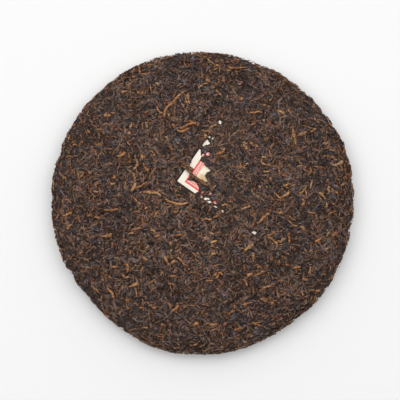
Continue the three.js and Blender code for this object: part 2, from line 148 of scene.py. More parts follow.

# Leaves that stand out in the photograph, traced one by one: how light and how warm each is, from 0 to 1,
# its width in mm, and the pixels that its middle line runs through. A strip darker than any leaf has a tone
# below 0, and is painted shade in a slit between leaves.
SHOWN_LEAVES = (
    (0.6, 0.5, 1.5, (121.3, 92.5), (126.6, 90.6)), (0.62, 0.7, 1.2, (132.5, 77.6), (135.5, 77.2)),
    (0.56, 0.6, 1.5, (136.9, 90.6), (138.8, 93.1), (141.3, 94.4), (143.6, 92.5), (144.4, 90)),
    (0.55, 1, 1.2, (139, 65.6), (139.7, 70.6), (140.3, 75.6)),
    (0.6, 0.2, 1.2, (155.6, 82.5), (159.4, 86.3)),
    (0.52, 0.6, 0.9, (184.4, 57.5), (184.1, 62.5), (186.3, 66.6), (189.4, 65), (191.6, 61.9)),
    (0.55, 0.6, 1.1, (185.6, 96.3), (186, 101.3), (188.1, 104.4)),
    (0.68, 0.7, 1.35, (187, 90.3), (180, 94.4), (173.8, 101.8), (167, 108.6), (164.7, 113), (165.3, 119.4)),
    (0.6, 0.6, 1.4, (187.8, 93), (188.1, 97.5), (188.8, 102), (190, 104.4)),
    (0.54, 0.4, 1.3, (201.3, 68.8), (202, 73.8), (202.5, 78.8)),
    (0.56, 0.6, 1.7, (205.6, 78.8), (210.6, 81.3)),
    (0.54, 0.4, 1.3, (208, 82.5), (203.8, 83.8), (200, 86.3), (198.1, 88.8)),
    (0.54, 0.5, 1.2, (215.6, 88.8), (218.8, 92.5), (222.5, 96.3)),
    (0.62, 0.8, 1.1, (215.6, 63.5), (219.4, 64.5)), (0.6, 0.7, 1.1, (225.6, 61), (229, 61.3)),
    (0.6, 0.6, 0.9, (226.3, 71.3), (228.8, 69.4), (231.6, 70.6)),
    (0.54, 0.7, 1.4, (226.6, 63.4), (228.8, 66.3), (232.5, 67), (238, 67), (242.5, 66), (246.9, 65)),
    (0.62, 0.6, 1.1, (238.4, 82.8), (241.6, 83.1)), (0.6, 0.9, 1.5, (241.3, 96), (242.5, 98.5)),
    (0.65, 0.4, 1.2, (258.3, 65), (261.6, 65)), (0.65, 0.2, 1.2, (268.8, 99.4), (271.6, 99.7)),
    (0.62, 0.6, 1.1, (73.1, 144.4), (76.3, 145), (80, 146.3)), (0.6, 0.9, 1.2, (81, 142.2), (84, 142.2)),
    (0.62, 0.4, 2.3, (87.3, 131.3), (90.8, 133)),
    (0.6, 0.7, 0.9, (95.6, 145), (98.1, 144.4), (101.9, 144.4)),
    (0.62, 0.4, 1.1, (96.3, 130), (99.4, 129.4), (102.5, 130.6), (104.4, 133.8), (105.6, 135.6)),
    (0.57, 0.6, 2, (104.4, 115.6), (108.1, 116.3), (111.5, 116.3)),
    (0.57, 0.6, 1.1, (125, 126.9), (125.9, 130.6), (125.6, 135)),
    (0.66, 0.4, 1.9, (129.4, 131.9), (130.3, 135)),
    (0.62, 0.4, 1.1, (131.6, 121.9), (131.9, 125), (130, 128.8)),
    (0.6, 0.7, 0.9, (144.7, 113), (150, 111.5)),
    (0.53, 0.1, 1.6, (146.3, 121.9), (146.9, 125.6), (146.9, 129)),
    (0.62, 0.7, 1.1, (157, 106), (158, 110), (160.5, 113), (163.5, 114.2)),
    (0.7, 0.6, 1.1, (165.3, 137.2), (167.2, 138.1), (168.4, 141.3)),
    (0.65, 0.5, 1, (168.5, 114), (169.5, 118)), (0.57, 0.9, 1.6, (170, 146.3), (172.3, 150.6)),
    (0.6, 0.7, 1.7, (171.9, 124.7), (173.8, 126.3), (175.2, 129)),
    (0.63, 0.9, 1.4, (175.9, 129.4), (179.4, 131.6), (183.1, 131.6), (186.9, 129.4), (191.3, 127.8)),
    (0.6, 0.9, 1.4, (179.4, 128.8), (182.5, 128.4), (186.3, 125.6), (190.6, 124.1), (196.9, 122.8)),
    (0.57, 1, 1.3, (188.1, 120.6), (191.9, 122.2), (195, 123.1)),
    (0.52, 0.5, 1.1, (201.3, 130.6), (207.5, 131.3), (212.5, 130)),
    (0.54, 0.4, 2.2, (204.4, 139), (205.4, 136), (205.6, 133.5)),
    (0.54, 0.5, 1.3, (208.8, 130), (210.6, 126.9), (213.1, 125.6), (218.1, 125)),
    (0.56, 0.6, 1.7, (243.1, 144.1), (245, 146.9), (247.5, 149.4)),
    (0.54, 0.6, 1.2, (248.1, 144.1), (251.3, 143.1), (255, 145)),
    (0.62, 0.8, 1.3, (249.4, 112.5), (253.8, 112.5), (258.1, 111.6), (263, 112.3)),
    (0.66, 0.7, 1.3, (255, 145.4), (257.9, 146.9)), (0.6, 0.6, 1.1, (263.1, 105.6), (266.5, 104)),
    (0.6, 0.6, 1.4, (263.8, 118.8), (264.1, 121.8)),
    (0.62, 0.9, 1.7, (278.1, 110.9), (281.3, 111.6), (284.4, 113.1)),
    (0.6, 0.8, 1.1, (288.1, 108.1), (288.8, 111.9)),
    (0.58, 0.7, 1.6, (292.5, 128.1), (293.1, 133.8), (294.7, 138.8), (296, 146.3)),
    (0.52, 0.2, 2.2, (297.5, 134.7), (301.3, 134.4), (305, 133.1), (306.6, 131.3)),
    (0.57, 0.7, 1.6, (310.6, 132.5), (313.1, 130.6), (315.6, 128.4)),
    (0.58, 0.3, 1.2, (321.9, 142.5), (325, 144.1), (327.5, 143.1)),
    (0.6, 0.7, 1.7, (328.8, 122.5), (331.3, 125.6)),
    (0.6, 0.7, 1.1, (63.4, 174), (63.8, 177.5), (67.5, 177.8)),
    (0.56, 0.6, 1.1, (64.4, 199.4), (68.1, 200), (70, 201.9), (71.3, 203.8)),
    (0.54, 0.8, 1.2, (66.3, 155.6), (70, 155.9), (73.1, 158.1)), (0.57, 1, 1.4, (70.6, 171.9), (75, 173.1)),
    (0.55, 0.6, 1.1, (77.5, 175.3), (80, 177.5), (83.1, 174.4), (84.1, 173.1)),
    (0.58, 0.5, 2, (88.8, 170.3), (90, 174)), (0.56, 0.5, 0.9, (90, 190.6), (93.1, 194.4), (96.3, 197.5)),
    (0.55, 0.8, 1, (91.9, 153.8), (93.1, 150.6), (95, 150.6), (96.3, 153.8), (96.9, 156.3)),
    (0.6, 0.4, 1.4, (93.8, 191.3), (96.3, 192.2), (98.8, 191.6)),
    (0.62, 0.6, 1.4, (96.3, 188.1), (95.9, 185), (97.5, 183.4), (99.4, 184.4)),
    (0.63, 0.5, 1.1, (110.6, 181.3), (112.2, 184.4), (116.3, 182.8)),
    (0.63, 0.7, 1.4, (111.9, 178.1), (115.9, 177.8)),
    (0.65, 0.6, 1.5, (116.9, 155.6), (120, 156.3), (123.8, 154.4), (126.6, 152.8)),
    (0.66, 0.4, 1, (119, 193.3), (119.8, 195.6)),
    (0.58, 0.5, 1.1, (128.8, 153.1), (129.7, 157.5), (130.3, 159.4)),
    (0.57, 0.9, 1.2, (133.8, 196.9), (135.6, 199.4), (138.1, 202.5), (141.9, 205)),
    (0.55, 0.5, 1.2, (133.8, 173.8), (134.9, 178), (135.6, 182.5)),
    (0.67, 0.4, 1.4, (135.3, 155), (136.3, 158.8), (137.6, 161.9), (137.6, 165.2), (135, 168.8),
     (133.1, 170.3)), (0.68, 0.5, 1.8, (136, 182.5), (134.6, 186.5), (131.3, 191.6)),
    (0.6, 0.7, 1, (136.3, 186.6), (140.6, 186.6), (143.8, 183.8), (147.8, 181.9)),
    (0.62, 0.5, 1.6, (139.4, 192.5), (143.1, 191.9), (147.5, 191.9), (152.5, 192.8)),
    (0.64, 0.8, 1.5, (141.3, 154.4), (142.5, 156.9), (142.5, 160)),
    (0.52, 1, 1.1, (143.1, 162.5), (145.6, 167.5), (148.8, 172.5)),
    (0.62, 0.8, 1.5, (143.5, 156.9), (146.4, 157.5)),
    (0.57, 1, 1.2, (150.9, 175), (153.1, 171.9), (156.3, 168.1)),
    (0.72, 0.5, 1.6, (151.5, 192.8), (157.5, 193.1), (160, 195), (160.9, 197.5)),
    (0.62, 0.8, 1.4, (165, 198.8), (168.1, 200.9), (173, 202.6), (177.5, 204), (181.9, 204.1),
     (188.8, 202.5)), (0.52, 0.6, 1.2, (215, 153.8), (220, 153.1), (224.4, 150.6)),
    (0.6, 0.6, 1.2, (235, 167.2), (239.4, 166.9), (244.4, 168.4)),
    (0.56, 0.6, 1.1, (239.4, 161.3), (240.3, 165), (241.9, 168.1)),
    (0.78, 0.4, 1.1, (243.6, 167.6), (244.5, 169.8)),
    (0.6, 0.6, 1.2, (248.1, 162.5), (245, 165.6), (241.9, 167.5)),
    (0.62, 1, 1.3, (258.3, 185.6), (259.6, 188.2)),
    (0.65, 0.8, 1.3, (261, 157.2), (264, 157.2), (266.4, 158.1)),
    (0.59, 0.4, 1.4, (261.3, 158.1), (261, 161.9), (263.8, 164.4), (267.5, 165), (270.6, 166.6)),
    (0.62, 0.2, 1.2, (262, 171.9), (265.6, 171.9), (269.4, 171.3)),
    (0.6, 0.5, 1.4, (270, 177.5), (270.3, 181.5)),
    (0.54, 0.3, 1, (270.6, 166.6), (275, 166.3), (278.1, 167.8), (281.3, 166.3), (282.5, 164.4)),
    (0.62, 0.7, 1.4, (273.1, 191.9), (276.3, 195), (279.4, 198.1), (283.1, 196), (286.9, 194.4),
     (288.4, 191.9), (288.1, 190)), (0.55, 0.9, 1.1, (277.8, 168.1), (278.4, 171.9), (279.4, 175)),
    (0.6, 0.6, 1.3, (281.9, 185.6), (285, 185.6), (286.9, 183.8)),
    (0.57, 0.7, 1.3, (300.6, 198.4), (303.1, 200.6), (303.4, 203.8), (300.6, 206.3)),
    (0.6, 0.6, 0.9, (304.7, 164.4), (304.7, 168.8)),
    (0.55, 0.6, 1.1, (306.9, 185), (304.4, 188.8), (301.3, 192.5), (296.9, 193.1)),
    (0.56, 0.9, 1.1, (309.4, 166.3), (310, 170), (309.4, 173.8)),
    (0.59, 0.9, 1, (311.3, 165.3), (315, 166.6), (320.6, 167.5), (325, 169.4)),
    (0.6, 0.2, 1.4, (311.3, 180), (310.9, 183.8), (310, 188.8)),
    (0.67, 0.7, 1.5, (318.1, 191.9), (321.3, 194.4), (323.8, 196.9), (325.6, 200)),
    (0.56, 0.9, 2.1, (325.8, 180.3), (328.5, 182)),
    (0.56, 1, 1.2, (326.3, 193.8), (328.8, 192.5), (327.8, 188), (330, 186.3)),
    (0.63, 0.7, 0.9, (328.1, 150), (330.6, 150.6), (333.1, 151.9)),
    (0.67, 0.3, 1.1, (329.4, 162.5), (331.5, 165), (334.4, 166.3)),
    (0.77, 0.3, 2.1, (333, 166), (336.5, 165), (340, 162.8), (342.8, 160.5)),
    (0.56, 0.9, 1.2, (333.8, 190), (336.3, 192.5), (338.1, 195)),
    (0.65, 0.6, 1.7, (340.6, 185.6), (343.1, 184.4), (345.2, 182.3)),
    (0.59, 1, 1.3, (343.8, 176.3), (347.5, 179.1)),
    (0.54, 0.8, 1, (53.8, 220), (56.9, 217.5), (59.4, 213.8)),
    (0.57, 0.9, 1.2, (61.9, 212.5), (63.4, 215.6), (66.9, 215), (70, 213.1), (72.5, 212)),
    (0.64, 0.5, 1.8, (66.3, 229.4), (68.8, 226.3), (71.9, 223.8)),
    (0.57, 0.7, 1.6, (71.6, 237.8), (75, 236.3)), (0.58, 0.6, 2, (87.2, 215), (90, 215.6), (92.5, 213.8)),
    (0.67, 0.6, 1.3, (94.7, 216.3), (97.5, 217.2), (100.2, 218.1)),
    (0.58, 0.5, 1.4, (101.3, 236), (105, 237)),
    (0.56, 1, 1, (103.8, 209.4), (108.1, 210.4), (112.5, 210), (116, 209.4), (119.4, 209.1)),
    (0.62, 0.5, 2.7, (104, 237), (108, 235.7), (112.3, 235)),
    (0.58, 0.6, 1.2, (127.5, 233.8), (133.8, 233.1)),
    (0.58, 0.7, 1.4, (135.6, 228.6), (138.1, 228.4), (141.3, 227.2)),
    (0.57, 0.7, 1.6, (145, 208.8), (148.1, 206.9)),
    (0.59, 0.6, 1.2, (146.9, 244.4), (147.2, 246.9), (145, 248.8)),
    (0.58, 0.7, 1.4, (150, 230.6), (152.5, 230), (154.4, 231.9), (155.3, 234.4)),
    (0.62, 0.7, 1, (151.3, 215.6), (153.1, 213.1), (154.4, 210.6)),
    (0.62, 0.7, 1, (153.8, 217.5), (155.6, 215), (156.3, 211.9)),
    (0.55, 0.5, 1.3, (153.8, 236.9), (157.5, 236.3), (159.4, 234.4)),
    (0.6, 0.7, 1.5, (169.7, 245), (170.9, 241.9)), (0.61, 0.4, 1.2, (171.9, 249.4), (170, 251.9)),
    (0.55, 1, 1.2, (175, 235.2), (182.5, 234.8)),
    (0.62, 0.6, 1.1, (200, 220.3), (203.1, 220), (205.6, 218.4), (208.8, 219.4), (212.5, 220)),
    (0.62, 0.6, 1.3, (208.8, 231.3), (211.3, 233.1), (213.8, 234.4)),
    (0.59, 0.8, 1.3, (210, 242.5), (213.1, 241.6), (217.5, 240.3)),
    (0.62, 0.8, 1, (212.5, 217.8), (215.6, 216.6), (218.4, 215.3)),
    (0.55, 1, 1.1, (221.3, 205.6), (224.4, 204.7), (228.5, 204.7)),
    (0.71, 0.6, 1.3, (240.3, 210), (244.4, 207.8), (248.1, 206.9), (250.6, 205.3)),
    (0.62, 0.7, 1.8, (256.3, 223.1), (259.4, 221.9), (262.5, 218.8), (265.6, 215.6), (270.6, 212.5)),
    (0.6, 0.7, 1.2, (267, 236), (270, 234.5), (274, 232), (276.3, 231)),
    (0.58, 0.7, 1.2, (267.5, 236.3), (271.3, 238.8), (274.4, 241.3), (276.3, 244.4)),
    (0.67, 0.1, 1.2, (271.4, 243.4), (273.2, 243.4)),
    (0.63, 0.4, 1.8, (276.3, 241.3), (276.9, 244.4), (277.2, 247.8)),
    (0.64, 0.3, 1.4, (277.5, 240.6), (280.6, 241.9), (283.1, 239.4), (286.3, 238.4)),
    (0.61, 0.8, 1.6, (278.8, 213.8), (281.5, 211.7)), (0.6, 0.6, 1.1, (278.8, 245.6), (283.1, 244.4)),
    (0.59, 0.6, 1.3, (286.3, 218.8), (289.4, 221.5), (292.5, 225), (295, 226), (298.1, 224.6)),
    (0.54, 0.5, 1.4, (288.1, 215), (292.5, 218.8), (296, 220.3)),
    (0.54, 0.8, 1.5, (288.8, 231.3), (288.4, 235), (289.4, 238.1), (289.1, 243.8)),
    (0.62, 0.5, 1.2, (292.5, 246), (292.9, 248.9)),
    (0.67, 0.4, 1.5, (299.7, 225.6), (302.5, 227.5), (303.8, 230)),
    (0.58, 0.4, 1.3, (306.3, 210.6), (310, 212.5), (313.8, 213.1), (315.6, 211.9)),
    (0.62, 1, 1.5, (315, 241.9), (318.1, 240.6), (321.9, 238.1)),
    (0.58, 0.2, 1.1, (326.3, 201.9), (326.6, 205.6), (325.9, 208.8)),
    (0.57, 0.9, 1.3, (326.9, 236.9), (327.5, 233.8), (330, 231.9)),
    (0.58, 0.6, 1.2, (328.1, 216.3), (330.6, 213.1), (333.1, 211.9), (336.3, 210.6)),
    (0.62, 1, 1.5, (335.6, 231.9), (334.5, 234.2), (333, 236.3)),
    (0.57, 0.7, 1.1, (88.1, 286.3), (90.6, 289.4), (93.8, 291.9), (96.9, 295)),
    (0.61, 0.8, 1.3, (100.3, 280), (101.6, 282.8)),
    (0.62, 0.8, 1.3, (103.4, 285.6), (105.6, 289.4), (108.1, 292.5), (110.5, 295), (112.2, 299.4),
     (112.5, 301.9)), (0.58, 0.6, 1.5, (107, 277), (108.7, 279.6)),
    (0.61, 0.9, 1.3, (110.6, 268.1), (116.3, 267.4)),
    (0.62, 0.7, 1.1, (120.3, 273.8), (121.9, 276.9), (123.8, 278.8), (128.1, 277.8)),
    (0.58, 0.7, 1.2, (122.5, 266.3), (125, 265.3), (126.6, 267.5), (126.6, 270), (126.3, 272.5),
     (125, 273.8)), (0.6, 0.7, 1.4, (127.5, 288.1), (131.3, 286.9), (135, 285.3), (138.1, 285.3)),
    (0.58, 0.8, 1.2, (128.8, 255), (130, 251.3)),
    (0.56, 0.4, 1.2, (141.3, 256.9), (144.4, 260), (147.5, 260.9)),
    (0.56, 0.8, 1.1, (145.6, 284.1), (149.4, 283.8), (152.5, 281.3), (155.6, 279.7)),
    (0.54, 0.3, 1.5, (163.1, 271.3), (161.3, 273.1), (160.9, 276.3)),
    (0.64, 0.6, 1.5, (164.7, 255.6), (165.6, 259.4), (167.5, 262.5), (169.7, 265.3)),
    (0.57, 0.9, 1.1, (167.8, 283.1), (171.3, 283.1), (175.6, 284.6)),
    (0.62, 0.7, 1.4, (170, 264.5), (172.5, 262.3), (175.3, 259.8)),
    (0.55, 0.9, 1.4, (170.3, 275.8), (173.8, 275.3), (177.5, 276.6)),
    (0.6, 0.9, 1.3, (176.9, 256.9), (180, 258.8), (182.5, 261.3), (185, 264.4), (186.9, 264.4)),
    (0.63, 0.5, 1.2, (194.1, 271.9), (196.5, 272.5)),
    (0.6, 0.8, 1, (205, 280), (209.4, 280), (213.8, 279.1)),
    (0.54, 0.9, 1.4, (210.6, 253.4), (216.3, 253.1)),
    (0.6, 0.9, 1.1, (212.5, 275), (215, 273.8), (216.3, 271.3)),
    (0.62, 0.9, 0.9, (213.4, 265.6), (216.3, 264.7), (219.1, 264.4)),
    (0.6, 0.9, 1.2, (213.8, 278.1), (216.9, 276.9), (218.1, 273.8), (220.6, 272.5), (222.5, 275)),
    (0.61, 0.2, 1.3, (230.6, 271.9), (235.6, 272.6)),
    (0.62, 0.9, 1.3, (242.2, 280), (245, 280.6), (246.6, 283.8), (247.5, 286.6)),
    (0.65, 0.5, 1.9, (243.4, 251.6), (246.3, 249.4), (249.4, 246.9), (251.9, 244.7), (253.1, 242.8)),
    (0.62, 0.8, 2.3, (246.9, 276.9), (250, 275.6), (253.1, 274.1)),
    (0.54, 0.8, 1.2, (251.9, 287.5), (253.8, 288.8), (253.8, 294.4)),
    (0.56, 0.6, 1.4, (252.8, 253.1), (253.4, 257.5), (253.4, 262.5)),
    (0.62, 0.8, 1.2, (253.8, 276.3), (256.9, 275), (260, 274.1), (263.1, 271.9), (265, 272.5)),
    (0.58, 0.8, 1.5, (257.5, 268), (259.6, 266.3)),
    (0.6, 0.7, 1.4, (260, 293.1), (262.5, 290), (265.6, 288.1), (269.4, 286.9), (273.1, 286.3)),
    (0.64, 0.6, 1.8, (260.6, 299.7), (263.8, 300.6), (267.8, 302.5)),
    (0.59, 0.8, 1.3, (267.2, 263.8), (267.2, 268.1)), (0.57, 0.7, 1.8, (277.5, 263.1), (280.6, 262.5)),
    (0.6, 0.4, 1.5, (278.1, 292.5), (279.4, 298.1)),
    (0.58, 0.8, 1.2, (285, 265), (288.1, 265), (290.6, 266.9)),
    (0.55, 0.7, 1.8, (291.3, 269.4), (296.3, 267.5), (301.3, 266.9)),
    (0.64, 0.6, 2, (302.5, 280), (305.6, 279.7), (308.8, 280.3)),
    (0.62, 0.7, 1.6, (315.6, 291.6), (318.1, 291.3), (320.6, 291.6)),
    (0.62, 0.7, 1, (138.8, 308.4), (141.3, 308.4), (143.8, 308.1)),
    (0.6, 0.5, 1.1, (139.7, 307.5), (142.5, 305), (145, 303.1)),
    (0.57, 0.8, 1.1, (141.3, 328.1), (145, 327.8), (148.8, 328.1)),
    (0.6, 0.7, 1.3, (150.9, 304.4), (151.3, 306.6), (153.8, 307.8), (156.9, 306.9)),
    (0.59, 0.8, 1.8, (161.3, 323.8), (163.8, 323.4)),
    (0.59, 0.8, 1.6, (170, 311.3), (173.8, 309.4), (176.9, 306.9), (179.4, 303.1)),
    (0.59, 0.4, 1.5, (189.4, 345), (193.1, 345.3), (196.3, 344.1), (198.3, 341.8)),
    (0.54, 1, 1.7, (192.5, 325), (196.3, 323.1), (199.4, 321.9)),
    (0.59, 0.3, 1, (195, 312.5), (197.5, 312.5), (199.1, 311.3)),
    (0.55, 0.6, 1.5, (208.8, 324.4), (213.1, 323.8), (217.5, 322.5)),
    (0.6, 0.8, 1.6, (227.5, 314.4), (230, 312.5), (233.1, 310.8), (235, 310.3)),
    (0.6, 0.8, 1.4, (233.1, 330.6), (236.3, 329.4), (240, 327.8), (241.3, 326.3)),
    (0.55, 0.7, 1.3, (234.2, 303.1), (234.7, 308.8)), (0.64, 0.5, 1.5, (242, 311), (244.2, 311.4)),
    (0.57, 0.4, 1.1, (243.1, 342.2), (246.3, 342.2), (248.4, 343.4)),
    (0.55, 0.6, 1.4, (250, 325), (253.1, 324.1), (256.9, 325.3), (260, 326.3), (263.8, 327.5),
     (267.5, 327.8)), (0.55, 0.3, 1.1, (255.6, 324.1), (259.4, 323.4), (263.1, 322.2)),
    (0.56, 0.9, 1.3, (271.9, 306.9), (273.1, 303.8), (275, 301.6), (278.1, 301.3)),
    # Dark strips that paint the shade in slits between leaves.
    (-0.25, 0.5, 1.4, (223, 306), (233, 301), (243, 294)),
    (-0.3, 0.5, 0.9, (125.5, 318), (127.5, 314.5), (128.5, 311)),
    # The dark leaves that bridge the ticket's largest hole.
    (0.14, 0.2, 1.6, (179, 162), (186, 166), (193, 171)), (0.17, 0.3, 1.5, (181, 165), (192, 173)),
    (0.2, 0.4, 1.4, (184, 163), (194, 170)), (0.23, 0.2, 1.5, (188, 170), (194, 178)),
    (0.14, 0.3, 1.6, (190, 173), (199, 180)), (0.17, 0.4, 1.6, (191, 176), (197, 179), (203, 183)),
    (0.2, 0.2, 1.5, (195, 177), (207, 184)), (0.23, 0.3, 1.4, (198, 181), (209, 186)),
    (0.14, 0.4, 1.3, (189, 175), (196, 179)),
)


def length(name, text, size):
    """A length property, from its size in mm."""
    return FloatProperty(name=name, description=text, default=size * MM, unit="LENGTH", precision=5)


def lengths(name, text, least, most):
    """A property of two lengths, the least and the most, from their sizes in mm."""
    both = (least * MM, most * MM)
    return FloatVectorProperty(name=name, description=text, default=both, size=2, unit="LENGTH", precision=5)


def number(name, text, value):
    """A property that is a plain number."""
    return FloatProperty(name=name, description=text, default=value)


def angle(name, text, degrees):
    """An angle property, from its size in degrees."""
    return FloatProperty(name=name, description=text, default=math.radians(degrees), subtype="ANGLE")


def colour(name, text, red, green, blue):
    """A colour property, from its linear shares of red, green and blue."""
    return FloatVectorProperty(
        name=name, description=text, default=(red, green, blue), size=3, min=0, max=1, subtype="COLOR"
    )


class TeaCakeShape(PropertyGroup):
    """The pressed cake's own sizes: its cross-section, core and unevenness."""

    radius: length("Radius", "From the axis to the rim", 100)
    centre_height: length("Centre height", "Height of the face in its middle", 23)
    face_radius: length("Face radius", "Where the dome of the face ends", 91)
    face_fullness: length("Face fullness", "How full the dome is near its edge", 3.4)
    shoulder_height: length("Shoulder height", "Height of the face's edge", 16)
    shoulder_drop: length("Shoulder drop", "How soon the shoulder turns down", 1.6)
    rim_height: length("Rim height", "Height of the widest line", 9)
    back_height: length("Back height", "Height of the back's flat ring", 0.15)
    back_radius: length("Back radius", "Where the flat ring ends", 83)
    lip_radius: length("Dimple lip", "Where the back turns into its dimple", 32)
    wall_radius: length("Dimple wall", "Radius at the middle of the dimple's wall", 21)
    wall_height: length("Dimple wall height", "Height at the middle of the dimple's wall", 6)
    dimple_height: length("Dimple height", "Height of the dimple's top", 11)
    swell: length("Swell", "Height of the face's broad unevenness", 0.3)
    swell_width: lengths("Swell width", "Least and greatest width of that unevenness", 14, 45)
    flow_width: lengths("Flow width", "Over what distance the leaves turn from one way to another", 22, 60)
    core_depth: length("Core depth", "How far the core lies under the top of the leaves", 1.25)
    core_bump: length("Core bump", "Height of the core's own lumps", 0.3)
    # This dark colour is the leaf dust's own, and partly painted shade in the gaps between the leaves.
    core_colour_and_shade: colour("Core colour", "Colour of the leaf dust between the leaves", 0.016, 0.011, 0.01)
    core_light: colour("Core light colour", "Colour of its lighter fibres", 0.1, 0.072, 0.06)


class TicketSizes(PropertyGroup):
    """Sizes and colours of the paper ticket."""

    long_edge: length("Long edge", "Length of the ticket", 62)
    short_edge: length("Short edge", "Width of the ticket", 49)
    thickness: length("Thickness", "Thickness of the paper", 0.3)
    depth: length("Depth", "How far it lies under the face", 1.25)
    corner_x: length("Corner x", "Place of its lower left corner", -16.5)
    corner_y: length("Corner y", "Place of its lower left corner", 14)
    turn: angle("Turn", "Angle of its long edge", -34.6)
    crease: length("Crease", "Height of the waves in the paper", 0.12)
    frame_side: length("Frame side", "From the short edge to the printed frame", 4.2)
    frame_end: length("Frame end", "From the long edge to the printed frame", 2.45)
    paper: colour("Paper", "Bare paper", 0.957, 0.88, 0.764)
    frame: colour("Frame", "The printed frame line", 0.877, 0.13, 0.113)
    pale: colour("Pale", "The thin line inside the frame", 0.93, 0.66, 0.58)
    band: colour("Band", "The printed band's ground", 0.909, 0.4, 0.371)
    strokes: colour("Strokes", "The strokes on the band", 0.84, 0.22, 0.17)
    body: colour("Body", "The field inside the band", 0.933, 0.848, 0.67)
    stain: colour("Stain", "Where tea has stained the paper", 0.7, 0.46, 0.24)
    stain_along: length("Stain along", "The stain's middle along the long edge", 13)
    stain_across: length("Stain across", "The stain's middle along the short edge", 11.2)
    stain_radius: length("Stain radius", "Where the stain ends", 4.5)


class StageSettings(PropertyGroup):
    """Camera, lights and floor."""

    lens: number("Lens", "Focal length in mm", 135.0)
    floor: colour("Floor", "Colour of the floor", 0.9, 0.9, 0.9)
    floor_glow: number("Floor glow", "How much light comes through the floor, as over a light table", 0.06)
    lamp_side: number("Lamp side", "How far each lamp stands to its side, in metres", 0.6)
    lamp_back: number("Lamp back", "How far the lamps stand past the top of the face, in metres", 0.35)
    lamp_height: number("Lamp height", "Height of the lamps in metres", 1.2)
    lamp_width: number("Lamp width", "Side of each square lamp in metres", 1.2)
    left_power: number("Left power", "Power of the lamp on the left in watts", 7.2)
    right_power: number("Right power", "Power of the lamp on the right in watts", 5.4)
    sky: number("Sky", "Strength of the soft light all round", 0.54)
    sky_lean: number("Sky lean", "How much more of it comes from past the top of the face", 0.9)


class LeafKind(PropertyGroup):
    """Sizes and colours of one kind of leaf."""

    count: IntProperty(name="Count", description="How many lie on the whole cake", default=0, min=0)
    bundle: IntProperty(name="Bundle", description="How many lie side by side", default=1, min=1)
    longest: lengths("Length", "Shortest and longest", 4, 8)
    widest: lengths("Width", "Narrowest and widest", 0.8, 1.3)
    flatness: number("Flatness", "Thickness as a share of the width", 0.5)
    bend: angle("Bend", "How far an end turns from the middle", 45)
    sway: angle("Sway", "How far the line wavers", 18)
    hook: angle("Hook", "How far one end curls in", 60)
    roll: angle("Roll", "How far a leaf lies turned about its length", 90)
    twist: angle("Twist", "How far the leaf is rolled from end to end", 140)
    stray: angle("Stray", "How far leaves stray from the way their neighbours lie", 50)
    gather: number("Gather", "How much more of them lie in some patches than in others", 0.3)
    lift: lengths("Lift", "Lowest and highest place of the middle over the face", -0.95, 0.05)
    gloss: number("Gloss", "Strength of the surface's own shine", 0.25)
    roughness: number("Roughness", "How dull that shine is", 0.55)
    streak: number("Streak", "How much the strands along a leaf change its tone", 0.92)
    hues: number("Hues", "How far the leaves differ in hue, from 0 to 1", 1.0)
    dark: colour("Dark", "Colour of the darkest", 0.01, 0.01, 0.01)
    middle: colour("Middle", "Colour of the usual ones", 0.03, 0.03, 0.03)
    light: colour("Light", "Colour of the lightest", 0.08, 0.08, 0.08)


